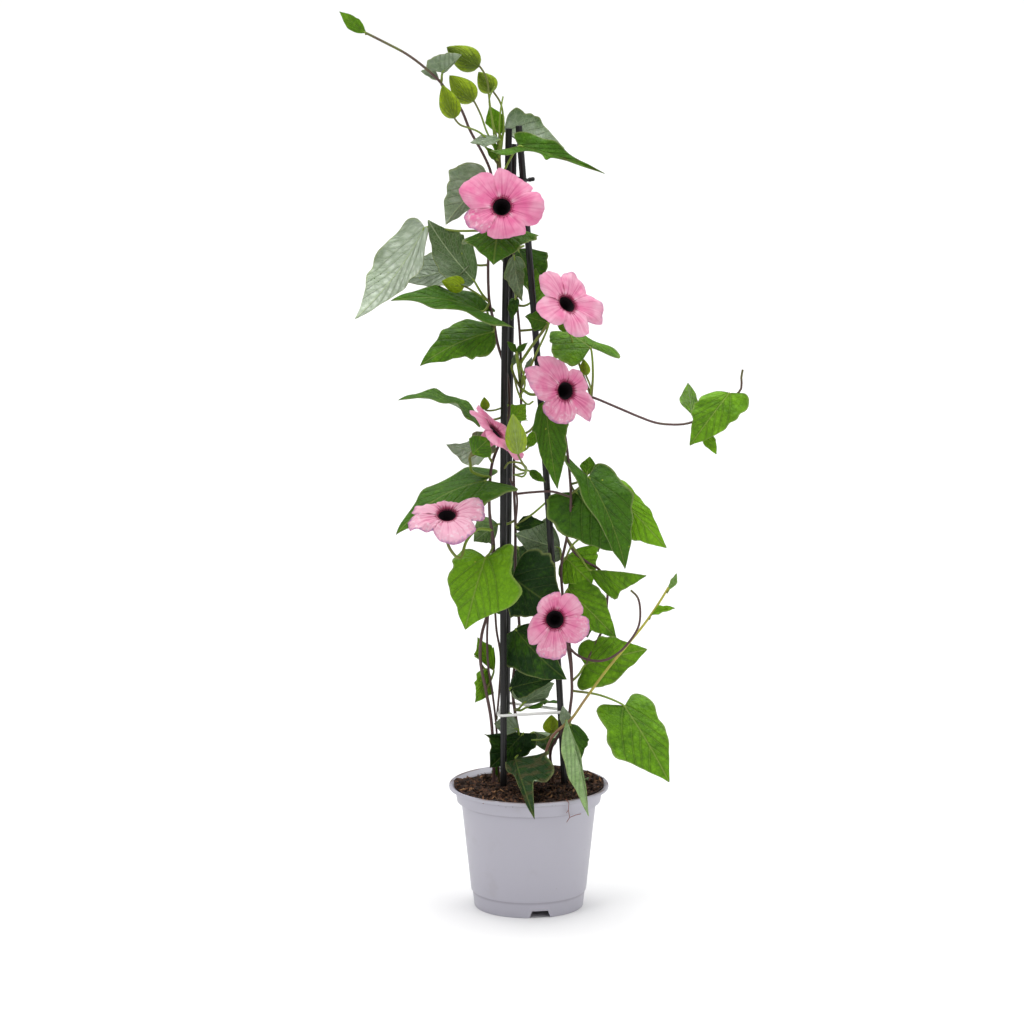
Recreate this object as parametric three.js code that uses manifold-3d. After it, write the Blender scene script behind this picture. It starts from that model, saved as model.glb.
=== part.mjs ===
// A black-eyed Susan vine in a nursery pot, tied to three ribbed stakes.
// Millimetres, +Z up. The origin is the middle of the pot's foot, on the surface it stands on.
// -Y is the front. Each leafy stem is one body with its leaves, stalks and closed buds,
// and each bloom is a pink corolla with a dark throat set in its tube.
import * as THREE from 'three';
import { mergeVertices } from 'three/addons/utils/BufferGeometryUtils.js';
import Module from 'manifold-3d';

const wasm = await Module();
wasm.setup();

// ---- driving dimensions -------------------------------------------------------------------
const CLEARANCE = 0.4;

const POT = {
  height: 93,
  wall: 1.6,
  footRadius: 40.6,
  footTop: 12,
  footStep: 0.9,
  bodyRadius: 50.2,
  bandBottom: 80.5,
  bandRadius: 53.7,
  bandTop: 54.9,
  lipBottom: 90.3,
  lipRadius: 59.6,
  lipWidth: 2.6,
  floorBottom: 4,
  floorTop: 5.6,
  padRadius: 9,
  sides: 32,
};
const NOTCH = { bottom: 17, top: 12, height: 5.5, angles: [-78, 42, 162] };
const DRAIN = { radius: 3.5, circle: 24, count: 6 };

const SOIL = {
  top: 89.8, heap: 1.4, rough: 1.3, sides: 24, rings: [0, 12, 25, 37, 46], edge: { radius: 54.2, height: 91.9 },
  dip: { angle: 2.32, depth: 4.5, sharpness: 9, inward: 0.45 },
};
const STEM_STEP = 21;
const STEM_FOOT = 60;
const STEM_HOLE = 2.3;

const STAKE = { radius: 2.5, groove: 0.28, flutes: 5, step: 75, hole: 3.1 };
const STAKES = [
  {
    name: 'stake_left',
    line: [[-18.7, 0, 8], [-18.8, 0.5, 150], [-19, 2, 300], [-17.8, 3.4, 430], [-14.8, 5, 585]],
  },
  {
    name: 'stake_right',
    line: [[31, -1, 8], [23.6, 0.5, 150], [15.6, 2, 285], [5, 3.4, 430], [-7.6, 5, 587]],
  },
  {
    name: 'stake_rear',
    line: [[-16.6, 32, 8], [-16.8, 33, 88], [-16, 30.5, 200], [-14.3, 23.5, 370], [-11.4, 13.6, 572]],
  },
];
const TOP_TIE = { height: 547, radius: 0.85, nub: [5, 3, 3.4] };
const LOWER_TIE = { height: 147, radius: 0.8 };
const TIE_GAP = 0.35;

const BLADE = 0.7;
const WAVE = 0.022;
const STALK = { root: 1, end: 0.8, sides: 3, step: 24, sunk: 1.2 };
const BUD_STALK = 0.8;
const BUD = { sides: 6, flat: 0.72, profile: [[0.1, 0.62], [0.36, 1], [0.68, 0.76]] };

// Blade outlines: [place along the midrib, half width, place of its midrib partner], both out of 1.
// "lead" is the place along the midrib of the widest point.
const HEART = {
  lead: 0.05,
  margin: [[-0.13, 0.56, 0.05], [0.06, 1, 0.18], [0.28, 0.94, 0.36], [0.53, 0.7, 0.58], [0.79, 0.34, 0.8]],
};
const LANCE = {
  lead: 0.4,
  margin: [[0.1, 0.5, 0.1], [0.32, 0.97, 0.32], [0.55, 0.93, 0.55], [0.78, 0.52, 0.78]],
};
// A torn leaf, narrow on its left side and lobed on its right.
const TAILED = {
  lead: 0.19,
  margin: [[-0.2, 0.8, 0.03], [-0.31, 1.9, 0.08], [-0.1, 1.15, 0.14], [0.12, 0.45, 0.22],
    [0.26, 0.28, 0.3], [0.34, 0.74, 0.38], [0.42, 0.3, 0.5], [0.8, 0.16, 0.78]],
  rightMargin: [[-0.06, 0.3], [-0.09, 0.76], [0.05, 0.93], [0.19, 1], [0.34, 0.94], [0.46, 0.72],
    [0.6, 0.34], [0.82, 0.14]],
};
const RAGGED = {
  lead: 0.5,
  margin: [[0, 0.8, 0.08], [0.12, 0.94, 0.2], [0.25, 1, 0.32], [0.36, 0.62, 0.42], [0.47, 0.5, 0.5],
    [0.62, 0.42, 0.62], [0.88, 0.22, 0.82]],
  rightMargin: [[0, 0.71], [0.27, 0.95], [0.33, 0.84], [0.585, 1], [0.7, 0.66], [0.62, 0.36], [0.86, 0.13]],
};

// ---- the plant, by leafy stem ---------------------------------------------------------------
// A leaf has its base, its tip, the widest points of its left and right halves (seen from its
// upper face), the arch of its midrib, the place where its stalk leaves the stem, and a place
// that the stalk passes.
const leafOf = (form) => (base, tip, left, right, arch, node, via) => (
  { form, base, tip, left, right, arch, node, via }
);
const heart = leafOf(HEART);
const lance = leafOf(LANCE);
const ragged = leafOf(RAGGED);
const tailed = leafOf(TAILED);

const VINES = [
  {
    name: 'vine_left',
    radius: [1.5, 0.75],
    sides: 5,
    stem: [[-26, 10, 96], [-28, 6, 140], [-32, 2, 164], [-36, -1, 188], [-35, -2, 207], [-30, 3, 225],
      [-27, 4, 251], [-26, 4, 274], [-29, 3, 297], [-29, 3, 318],
      [-27, 6, 336], [-21, 9, 352], [-15, 10, 371],
      [-15, 10, 394], [-19, 8.5, 411], [-23, 5, 425], [-26, 1, 443], [-29, 0, 457], [-30, 0, 485],
      [-29, 2, 503], [-28, 4, 521], [-27, 4, 540], [-28, 2, 553], [-33, -2, 566], [-43, -6, 585],
      [-50, -9, 602], [-58, -12, 612], [-64, -14, 621], [-75, -17, 632], [-89, -20, 643], [-105, -23, 652],
      [-118, -26, 659]],
    leaves: [
      lance([-118, -26, 659], [-137, -30, 675], [-125, -28, 671], [-130, -28, 662], 1, [-118, -26, 659]),
      heart([-63, -15, 629], [-49, -24, 643], [-74, -12, 636], [-59, -18, 631], 1, [-64, -14, 620]),
      lance([-65, -13, 623], [-79, -8, 629], [-71, -12, 624], [-72, -12, 632], 1, [-62, -13, 617]),
      heart([-29, 0, 549], [-61, -8, 516], [-35, 6, 526], [-50, -4, 559], 5, [-27, 4, 543]),
      heart([-76, -8, 514], [-127, -26, 449], [-80, -20, 490], [-103, 0, 506], 8, [-29, 3, 512]),
      heart([-45, 2, 487], [-97, -10, 476], [-56, -10, 475], [-68, 10, 496], 6, [-30, 0, 485]),
      heart([-40, -8, 474], [-74, -16, 521], [-62, -16, 479], [-45, -2, 507], 5, [-29, 0, 457]),
      heart([-34, -10, 452], [-101, -26, 463], [-36, 6, 462], [-21, -24, 446], 7, [-29, 0, 457]),
      heart([-26, -4, 436], [-80, -18, 413], [-46, 10, 444], [-37, -16, 420], 6, [-25, 1, 441]),
      heart([-32, -4, 350], [-61, -2, 351], [-38, -12, 339], [-39, 6, 355], 4, [-27, 6, 336]),
      heart([-38, 4, 368], [-96, -14, 387], [-44, 26, 372], [-47, -18, 373], 8, [-15, 10, 371]),
      heart([-32, -6, 325], [-98, -28, 289], [-41, 18, 329], [-18, -24, 315], 9, [-29, 3, 318]),
      heart([-32, -12, 268], [-47, -24, 216], [-57, -8, 265], [-12, -14, 268], 5, [-26, 4, 274]),
      heart([-26, 11, 177], [-38, 8, 203], [-40, 6, 190], [-26, 14, 196], 2, [-32, 2, 164]),
      heart([-30, 8, 178], [-40, 4, 154], [-39, 2, 173], [-26, 12, 158], 2, [-35, 0, 184]),
      heart([-36, 14, 262], [-46, 28, 224], [-56, 20, 254], [-22, 20, 252], 4, [-27, 4, 251]),
    ],
    buds: [
      { tip: [-64, -18, 476], radius: 6.2, stalk: [[-47, -12, 471], [-36, -5, 463], [-29, 0, 457]] },
      { tip: [-33, -3, 387], radius: 3.4, stalk: [[-32, -2, 377], [-26, 2, 376], [-17, 8, 380]] },
    ],
  },
  {
    name: 'vine_centre',
    radius: [1.5, 0.8],
    sides: 5,
    stem: [[-7, 20, 95], [-7, 18, 122], [-10, 16, 142], [-12, 15, 161], [-10, 16, 184], [-7, 17, 207],
      [-9, 16, 230], [-10, 16, 252], [-10, 14, 272], [-10, 13, 291], [-11, 12, 314], [-11, 13, 336],
      [-9, 13, 351], [-6, 12, 371], [-6, 10, 391], [-6, 10, 412], [-7, 10.5, 434], [-9, 9.5, 457],
      [-10, 9, 476], [-12, 9.5, 494], [-17, 11, 505], [-21, 10.5, 520], [-22.5, 9, 539], [-23, 8, 558],
      [-24.5, 4, 571]],
    leaves: [
      heart([-18, 19, 581], [26, 22, 568], [-4, 28, 596], [-1, 17, 570], 5, [-23, 7, 558]),
      lance([-21, 5, 580], [-29, 3, 602], [-32, 2, 592], [-18, 5, 593], 1, [-23, 6, 562]),
      lance([-21, -3, 578], [-43, -13, 577], [-31, -12, 576], [-31, -4, 583], 1, [-24, 4, 568]),
      tailed([-7, -14, 575], [55, -30, 557], [3, -24, 566], [8, -12, 580], 3, [-23, 8, 541], [-20, -6, 552]),
      heart([-21, -8, 518], [-26, -42, 492], [-49, -22, 503], [6, -20, 508], 5, [-13, 9, 497], [-11, 1, 511]),
      heart([-11, -5, 492], [-5, -8, 459], [-18, -11, 481], [-3, -4, 483], -3, [-12, 9, 491]),
      heart([1, 10, 455], [5, 15, 480], [-1, 12, 469], [15, 16, 458], 3, [-9, 10, 453]),
      heart([-13, -4, 369], [-2, -8, 383], [-1, -8, 371], [-13, -4, 382], 2, [-9, 13, 361]),
      lance([-1, 6, 347], [6, 3, 363], [-1, 4, 356], [7, 5, 353], 1, [-10, 14, 345]),
      heart([12, -9, 384], [21, -14, 320], [4, -6, 364], [29, -10, 367], 5, [-9, 14, 354], [2, 2, 362]),
      lance([0, 5, 330], [12, -3, 323], [4, 0, 324], [7, 2, 330], 1, [-11, 13, 333]),
      heart([-23, 13, 288], [-41, 12, 275], [-28, 12, 271], [-38, 14, 294], 3, [-10, 13, 291]),
      heart([-12, -4, 251], [24, -10, 227], [-13, -12, 224], [9, -8, 274], 4, [-10, 16, 246]),
      heart([-10, 9, 209], [28, -10, 175], [-20, 9, 185], [14, -4, 211], 5, [-7, 17, 210]),
      heart([-14, 12, 163], [19, 5, 172], [-4, 5, 157], [-5, 14, 181], 4, [-12, 15, 161]),
      heart([-4, 6, 153], [19, 4, 169], [-10, 12, 165], [13, 5, 156], 3, [-10, 16, 144]),
      heart([-2, 9, 149], [26, 5, 153], [12, 4, 152], [12, 18, 151], 2, [-10, 16, 144]),
      heart([-8, 11, 132], [-26, 8, 137], [-18, 7, 128], [-14, 14, 144], 3, [-7, 18, 120]),
      heart([-4, 14, 128], [-29, 4, 104], [-33, 2, 128], [6, 15, 118], 1, [-7, 18, 126]),
      ragged([-10, 2, 112], [4, -70, 84], [-9, -32, 90], [24, -32, 101], 13, [-7, 18, 114]),
      heart([-8, 34, 266], [-4, 52, 222], [14, 40, 262], [-28, 40, 258], 5, [-10, 13, 272]),
      heart([15, 18, 438], [-3, 20, 443], [5, 24, 449], [4, 12, 434], 3, [-7, 10, 434]),
      heart([-8, 28, 492], [4, 42, 455], [14, 30, 486], [-22, 34, 484], 4, [-12, 9, 494], [-4, 18, 496]),
      heart([4, 34, 124], [16, 62, 101], [28, 44, 117], [-12, 46, 113], 5, [-7, 18, 126]),
    ],
    buds: [
      {
        tip: [-60, -12, 647],
        radius: 9,
        stalk: [[-36, -6, 632], [-31, -4, 623], [-29, -2, 607], [-26, 0, 584], [-24, 4, 569]],
      },
      {
        tip: [-58, -17, 627],
        radius: 8.5,
        stalk: [[-40, -11, 607], [-35, -6, 596], [-31, -3, 584], [-25, 3, 571]],
      },
      {
        tip: [-63, -25, 621],
        radius: 7.2,
        stalk: [[-54, -22, 596], [-50, -19, 591], [-43, -15, 588], [-36, -9, 584], [-25, 3, 571]],
      },
      {
        tip: [-37, 2, 627],
        radius: 7,
        stalk: [[-26, 4, 612], [-21, 5, 604], [-19, 5, 595], [-19, 5, 582], [-23, 5, 568]],
      },
      {
        tip: [-12, -63, 386],
        radius: 7.5,
        stalk: [[-8, -60, 355], [-5, -54, 348], [-2, -34, 340], [-4, -4, 330], [-11, 12, 325]],
      },
      { tip: [17, 7, 144], radius: 6.2, stalk: [[17, 9, 129], [12, 12, 124], [-7, 18, 122]] },
    ],
  },
  {
    name: 'vine_right',
    radius: [1.4, 0.7],
    sides: 5,
    stem: [[18, 14, 95], [16, 8, 112], [18, 0, 123], [24, -6.5, 134],
      [29, -8, 143], [31, -8, 155], [32, -8, 166], [31, -6, 185],
      [28, -4, 204], [25, -1, 237], [24, 0, 259], [28, 1, 280], [30, -5, 295], [31, -9, 309], [30, -9, 330],
      [27, -7, 356], [24, -2, 370], [23, 3, 380], [28, 5, 386], [38, 4, 387], [46, 2, 386], [64, 0, 379],
      [81, -2, 372], [93, -4, 368], [103, -6, 367], [117, -7, 368], [135, -6, 376], [150, -6, 387],
      [156, -6, 394], [156, -6, 402], [157, -6, 408]],
    leaves: [
      heart([45, -2, 424], [16, 24, 431], [65, 2, 421], [24, -16, 416], 4, [46, 2, 386], [47, -3, 406]),
      heart([44, -8, 328], [71, -24, 262], [27, -11, 334], [66, 4, 325], 7, [31, -9, 315]),
      lance([43, -1, 328], [45, 4, 341], [38, 2, 335], [50, 2, 334], 1, [31, -9, 321]),
      heart([62, 8, 315], [102, -2, 273], [77, 0, 270], [76, 12, 316], 5, [31, -8, 305], [47, 4, 310]),
      heart([35, -5, 316], [69, -12, 272], [13, -5, 298], [50, -3, 311], 4, [31, -9, 324]),
      heart([23, 12, 270], [-10, 7, 282], [14, 9, 259], [12, 20, 291], 4, [25, 1, 263]),
      heart([27, 7, 264], [47, 10, 243], [24, 6, 246], [51, 14, 271], 3, [25, 1, 261]),
      heart([45, 5, 255], [87, -10, 254], [65, -8, 234], [57, 6, 253], 3, [28, 1, 280], [38, 5, 265]),
      heart([29, 4, 241], [65, 2, 204], [36, 2, 211], [45, 8, 248], 4, [25, 0, 237]),
      heart([42, 0, 184], [88, -5, 197], [45, -5, 165], [44, 6, 202], 5, [31, -6, 172]),
      heart([71, -15, 156], [104, -36, 103], [53, -20, 144], [92, -10, 157], 6, [32, -7, 166],
        [53, -10, 163]),
      heart([147, -9, 391], [118, -16, 353], [123, -10, 386], [159, -14, 380], 4, [154, -6, 390]),
      lance([120, -4, 374], [117, 1, 397], [111, 0, 386], [124, -1, 386], 1, [126, -6, 372]),
      lance([128, -7, 363], [138, -9, 345], [127, -8, 356], [138, -8, 355], 1, [132, -6, 375]),
      heart([34, 18, 232], [44, 36, 196], [56, 22, 226], [20, 28, 222], 5, [25, -1, 237]),
      heart([36, 18, 296], [52, 34, 262], [58, 20, 290], [28, 28, 276], 5, [28, 1, 280]),
    ],
    buds: [
      { tip: [40, -6, 416], radius: 3.6, stalk: [[42, -4, 403], [45, -1, 395], [46, 2, 386]] },
    ],
    hooks: [
      {
        radius: [1, 0.8],
        route: [[28, -4, 200], [36, -12, 194], [46, -20, 192], [56, -24, 193], [66, -26, 199],
          [75, -27, 209], [81, -27, 220], [82, -26, 232], [80, -25, 241], [75, -24, 246]],
      },
      {
        radius: [1, 0.9],
        route: [[28, 1, 280], [34, 5, 268], [44, 7, 260], [52, 7, 255], [58, 6, 245],
          [58, 4, 230], [56, 3, 214], [50, 2, 200], [44, 0, 188], [43, 0, 184]],
      },
    ],
  },
  {
    name: 'vine_shoot',
    radius: [1.3, 0.8],
    sides: 5,
    stem: [[11, 4, 95], [13, 1, 117], [17, -4, 129], [23, -12, 138],
      [31, -17, 146], [41, -19, 161], [57, -20, 184],
      [74, -19, 205], [86, -18, 220], [96, -18, 235], [103, -19, 247]],
    leaves: [
      lance([103, -19, 245], [109, -20, 258], [104, -21, 253], [109, -18, 251], 0, [102, -19, 244]),
      lance([90, -18, 226], [108, -26, 233], [98, -25, 228], [99, -20, 233], 1, [88, -18, 223]),
      heart([31, -14, 142], [37, -9, 110], [25, -11, 128], [44, -7, 130], 3, [28, -15, 143]),
      lance([28, -19, 146], [44, -60, 83], [38, -38, 116], [25, -40, 116], -7, [26, -14, 141]),
    ],
    buds: [],
  },
];

// ---- blooms --------------------------------------------------------------------------------
// "eye" is the middle of the throat's mouth and "face" the way it looks. Each petal is a row of
// points of its edge, each with its angle round the face and its reach, and the edge comes in to
// PETAL_NOTCH between two petals. The stalk runs from behind the tube to the stem.
const BLOOM = { tube: 22, tubeRadius: 2.4, mouth: 7.4, wall: 0.8, limbRise: 1.6, throatWall: 0.6 };
const PETAL_NOTCH = 0.76;
const BLOOMS = [
  {
    vine: 'vine_centre',
    eye: [-20, -38, 534],
    face: [-0.05, -0.88, 0.45],
    petals: [
      [[-30, 27], [-12, 30.5], [6, 31], [23, 28.5]],
      [[34, 27], [50, 25.5], [72, 25.8], [95, 29.5]],
      [[113, 29], [126, 31], [143, 32.5], [159, 33.5], [172, 28]],
      [[194, 28], [208, 28.5], [222, 26], [235, 24]],
      [[247, 24], [268, 24], [290, 24.5], [310, 27]],
    ],
    stalk: [[-22, -4, 519], [-22, 9, 521]],
  },
  {
    vine: 'vine_centre',
    eye: [28, -28, 461],
    face: [0.5, -0.61, 0.61],
    petals: [
      [[-44, 27], [-36, 31.5], [-12, 31], [6, 26]],
      [[24, 26], [38, 29], [52, 29.4], [70, 26]],
      [[82, 26.5], [99, 29], [120, 28.5], [139, 24]],
      [[164, 23], [182, 28.8], [206, 28.5], [222, 24]],
      [[243, 22.5], [267, 27.5], [280, 27.5], [294, 23.5]],
    ],
    stalk: [[11, -11, 439], [-1, 0, 420], [-7, 5, 408], [-6, 10, 396]],
  },
  {
    vine: 'vine_centre',
    eye: [27, -32, 397],
    face: [0.5, -0.85, 0.15],
    petals: [
      [[-56, 25], [-51, 31.5], [-40, 29], [-30, 27], [-16, 22.5]],
      [[2, 19.5], [20, 18.8], [44, 18.4], [66, 17]],
      [[84, 19], [104, 25], [119, 31], [129, 34.5]],
      [[141, 33], [149, 36], [163, 31], [180, 26.5], [190, 23]],
      [[207, 21.5], [225, 23], [245, 24.2], [267, 24.2], [285, 22.5]],
    ],
    stalk: [[9, -8, 391], [1, 2, 388], [-6, 10, 390]],
  },
  {
    vine: 'vine_left',
    eye: [-24, -38, 368],
    face: [0.7, -0.13, 0.7],
    petals: [
      [[-45, 22.5], [-28, 25], [-8, 25], [9, 22.5]],
      [[27, 22.5], [44, 25], [64, 25], [81, 22.5]],
      [[99, 23.5], [116, 26], [136, 26], [153, 23.5]],
      [[171, 22.5], [188, 25], [208, 25], [225, 22.5]],
      [[243, 24.5], [260, 27], [280, 27], [297, 24.5]],
    ],
    stalk: [[-43, -22, 341], [-42, -12, 333], [-35, -4, 328], [-29, 3, 326]],
  },
  {
    vine: 'vine_left',
    eye: [-60, -48, 308],
    face: [0, -0.5, 0.86],
    petals: [
      [[-4, 26], [6, 28], [26, 29], [43, 31.5]],
      [[58, 17], [80, 15.5], [100, 14.5], [118, 15.5]],
      [[130, 18.5], [144, 21.5], [160, 24.5], [172, 26]],
      [[183, 27], [192, 29], [206, 30], [219, 25]],
      [[250, 22], [264, 26], [280, 29], [300, 29], [321, 27], [335, 22]],
    ],
    stalk: [[-58, -33, 279], [-53, -29, 272], [-50, -24, 271], [-46, -14, 281], [-38, -6, 288],
      [-29, 3, 285]],
  },
  {
    vine: 'vine_right',
    eye: [19, -42, 228],
    face: [0, -0.98, 0.18],
    petals: [
      [[-55, 21.5], [-40, 25], [-22, 26.5], [-6, 25.7], [3, 23.5]],
      [[14, 21.5], [33, 22.5], [54, 22.8], [68, 20.5]],
      [[80, 20.5], [100, 19], [120, 18], [141, 16.5]],
      [[177, 16.5], [195, 20], [212, 23.5], [223, 26], [231, 24]],
      [[241, 28], [255, 29.5], [270, 29.5], [285, 28]],
    ],
    stalk: [[21, -14, 214], [28, -4, 204]],
  },
];

const FINISH = {
  pot: { color: 0xc9c8d2, roughness: 0.42 },
  soil: { color: 0x3a261c, roughness: 0.95 },
  stake: { color: 0x1a1719, roughness: 0.5 },
  blackTie: { color: 0x141214, roughness: 0.6 },
  whiteTie: { color: 0xf2f1ee, roughness: 0.6 },
  leaf: { color: 0x3d6b22, roughness: 0.55 },
  petal: { color: 0xe87fb0, roughness: 0.6 },
  throat: { color: 0x1c0416, roughness: 0.8 },
};

// ---- small helpers -------------------------------------------------------------------------
const vec = (p) => new THREE.Vector3(p[0], p[1], p[2]);

function seeded(seed) {
  let state = seed;
  return () => {
    state = (state * 16807) % 2147483647;
    return state / 2147483647;
  };
}

function closedMesh(points, triangles) {
  const geometry = new THREE.BufferGeometry();
  const flat = points.flatMap((p) => [p.x, p.y, p.z]);
  geometry.setAttribute('position', new THREE.Float32BufferAttribute(flat, 3));
  geometry.setIndex(triangles.flat());
  return geometry;
}

function toSolid(geometry) {
  const bare = geometry.clone();
  bare.deleteAttribute('normal');
  bare.deleteAttribute('uv');
  const merged = mergeVertices(bare, 1e-4);
  return new wasm.Manifold(new wasm.Mesh({
    numProp: 3,
    vertProperties: new Float32Array(merged.attributes.position.array),
    triVerts: new Uint32Array(merged.index.array),
  }));
}

function toGeometry(solid) {
  const mesh = solid.getMesh();
  const geometry = new THREE.BufferGeometry();
  const places = [];
  for (let i = 0; i < mesh.vertProperties.length; i += mesh.numProp) {
    places.push(mesh.vertProperties[i], mesh.vertProperties[i + 1], mesh.vertProperties[i + 2]);
  }
  geometry.setAttribute('position', new THREE.Float32BufferAttribute(places, 3));
  geometry.setIndex(Array.from(mesh.triVerts));
  return geometry;
}

// Joins the pieces of one node and drops loose scraps.
function fuse(geometries) {
  const joined = wasm.Manifold.union(geometries.map(toSolid));
  const bodies = joined.decompose();
  bodies.sort((a, b) => b.volume() - a.volume());
  return toGeometry(bodies[0]);
}

function cut(geometry, tools) {
  const removed = wasm.Manifold.union(tools.map(toSolid));
  return toGeometry(toSolid(geometry).subtract(removed));
}

// A tube along a smooth curve, with a radius that runs from the first to the last.
function sweep(points, radii, sides, step, groove = 0) {
  const spaced = points.filter((p, i) => i === 0 || p.distanceTo(points[i - 1]) > 0.5);
  const curve = new THREE.CatmullRomCurve3(spaced, false, 'centripetal');
  const count = Math.max(2, Math.round(curve.getLength() / step));
  const frames = curve.computeFrenetFrames(count, false);
  const places = [];
  const triangles = [];
  for (let k = 0; k <= count; k += 1) {
    const t = k / count;
    const centre = curve.getPointAt(t);
    const radius = THREE.MathUtils.lerp(radii[0], radii[1], t);
    for (let j = 0; j < sides; j += 1) {
      const angle = (2 * Math.PI * j) / sides;
      const reach = radius - (j % 2) * groove;
      places.push(centre.clone()
        .addScaledVector(frames.normals[k], reach * Math.cos(angle))
        .addScaledVector(frames.binormals[k], reach * Math.sin(angle)));
    }
  }
  for (let k = 0; k < count; k += 1) {
    for (let j = 0; j < sides; j += 1) {
      const a = k * sides + j;
      const b = k * sides + ((j + 1) % sides);
      triangles.push([a, b, a + sides], [b, b + sides, a + sides]);
    }
  }
  const last = count * sides;
  for (let j = 1; j < sides - 1; j += 1) {
    triangles.push([0, j + 1, j], [last, last + j, last + j + 1]);
  }
  return closedMesh(places, triangles);
}

// Gives a surface patch its thickness. "rim" is its edge, with the patch on the left.
function thicken(patch, triangles, rim, front, back) {
  const normals = patch.map(() => new THREE.Vector3());
  for (const [a, b, c] of triangles) {
    const ab = patch[b].clone().sub(patch[a]);
    const ac = patch[c].clone().sub(patch[a]);
    const facing = ab.cross(ac);
    normals[a].add(facing);
    normals[b].add(facing);
    normals[c].add(facing);
  }
  normals.forEach((n) => n.normalize());
  const count = patch.length;
  const upper = patch.map((p, i) => p.clone().addScaledVector(normals[i], front));
  const lower = patch.map((p, i) => p.clone().addScaledVector(normals[i], -back));
  const faces = triangles.map((t) => t.slice());
  for (const [a, b, c] of triangles) {
    faces.push([a + count, c + count, b + count]);
  }
  rim.forEach((p, i) => {
    const q = rim[(i + 1) % rim.length];
    faces.push([p, p + count, q + count], [p, q + count, q]);
  });
  return closedMesh([...upper, ...lower], faces);
}

// ---- leaves, stalks and buds -----------------------------------------------------------------
function blade(leaf, seed) {
  const random = seeded(seed);
  const base = vec(leaf.base);
  const along = vec(leaf.tip).sub(base);
  const length2 = along.lengthSq();
  const half = (point) => {
    const reach = vec(point).sub(base);
    const share = reach.dot(along) / length2;
    return { across: reach.addScaledVector(along, -share), sweepBack: share - leaf.form.lead };
  };
  const left = half(leaf.left);
  const right = half(leaf.right);
  const up = along.clone().cross(right.across.clone().sub(left.across)).normalize();
  const wave = WAVE * Math.sqrt(length2);
  const arched = (s) => leaf.arch * 4 * s * (1 - s);
  const onRib = (s) => base.clone().addScaledVector(along, s).addScaledVector(up, arched(s));
  const margin = leaf.form.margin;
  const count = margin.length;
  const patch = [base.clone(), ...margin.map((m) => onRib(m[2])), vec(leaf.tip)];
  for (const [side, edge] of [[left, margin], [right, leaf.form.rightMargin ?? margin]]) {
    const phase = 2 * Math.PI * random();
    for (const [s, w] of edge) {
      const slant = side.sweepBack * w * (1 - s) * (1 - s);
      const ripple = wave * w * Math.sin(14 * s + phase);
      patch.push(base.clone().addScaledVector(along, s + slant).addScaledVector(side.across, w)
        .addScaledVector(up, arched(s) + ripple));
    }
  }
  const tip = count + 1;
  const leftEdge = (i) => count + 2 + i;
  const rightEdge = (i) => 2 * count + 2 + i;
  const triangles = [[0, leftEdge(0), 1], [0, 1, rightEdge(0)]];
  for (let i = 0; i < count - 1; i += 1) {
    triangles.push([i + 1, leftEdge(i + 1), i + 2], [i + 1, leftEdge(i), leftEdge(i + 1)]);
    triangles.push([i + 1, i + 2, rightEdge(i + 1)], [i + 1, rightEdge(i + 1), rightEdge(i)]);
  }
  triangles.push([count, leftEdge(count - 1), tip], [count, tip, rightEdge(count - 1)]);
  const rim = [0];
  for (let i = 0; i < count; i += 1) rim.push(leftEdge(i));
  rim.push(tip);
  for (let i = count - 1; i >= 0; i -= 1) rim.push(rightEdge(i));
  return thicken(patch, triangles, rim, BLADE / 2, BLADE / 2);
}

function nearestOn(curve, point) {
  const steps = 400;
  let best = curve.getPoint(0);
  for (let i = 1; i <= steps; i += 1) {
    const candidate = curve.getPoint(i / steps);
    if (candidate.distanceToSquared(point) < best.distanceToSquared(point)) best = candidate;
  }
  return best;
}

function leafStalk(leaf, curve) {
  const start = nearestOn(curve, vec(leaf.node));
  const base = vec(leaf.base);
  const along = vec(leaf.tip).sub(base).normalize();
  const sunk = base.clone().addScaledVector(along, STALK.sunk);
  const middle = leaf.via ? vec(leaf.via) : start.clone().lerp(base, 0.5);
  return sweep([start, middle, sunk], [STALK.root, STALK.end], STALK.sides, STALK.step);
}

// A closed bud: two keeled bracts that meet in a sharp seam.
function bud({ tip, radius, stalk }) {
  const base = vec(stalk[0]);
  const axis = vec(tip).sub(base);
  const length = axis.length();
  axis.normalize();
  const side = new THREE.Vector3(0, -1, 0).cross(axis).normalize();
  const depth = axis.clone().cross(side);
  const places = [base.clone()];
  const triangles = [];
  const rows = BUD.profile.length;
  for (const [t, r] of BUD.profile) {
    for (let j = 0; j < BUD.sides; j += 1) {
      const angle = (2 * Math.PI * j) / BUD.sides;
      const across = Math.cos(angle) * radius * r;
      const out = Math.sin(angle) * radius * r * BUD.flat;
      places.push(base.clone().addScaledVector(axis, t * length).addScaledVector(side, across)
        .addScaledVector(depth, out));
    }
  }
  places.push(vec(tip));
  const end = places.length - 1;
  const at = (row, j) => 1 + row * BUD.sides + (j % BUD.sides);
  for (let j = 0; j < BUD.sides; j += 1) {
    triangles.push([0, at(0, j + 1), at(0, j)], [end, at(rows - 1, j), at(rows - 1, j + 1)]);
    for (let row = 0; row < rows - 1; row += 1) {
      triangles.push([at(row, j), at(row, j + 1), at(row + 1, j)]);
      triangles.push([at(row, j + 1), at(row + 1, j + 1), at(row + 1, j)]);
    }
  }
  return closedMesh(places, triangles);
}

// ---- blooms ----------------------------------------------------------------------------------
function frameOf(bloom) {
  const face = vec(bloom.face).normalize();
  const right = new THREE.Vector3(0, 0, 1).cross(face).normalize();
  const up = face.clone().cross(right);
  const eye = vec(bloom.eye);
  return (x, y, z) => eye.clone().addScaledVector(right, x).addScaledVector(up, y).addScaledVector(face, z);
}

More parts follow.
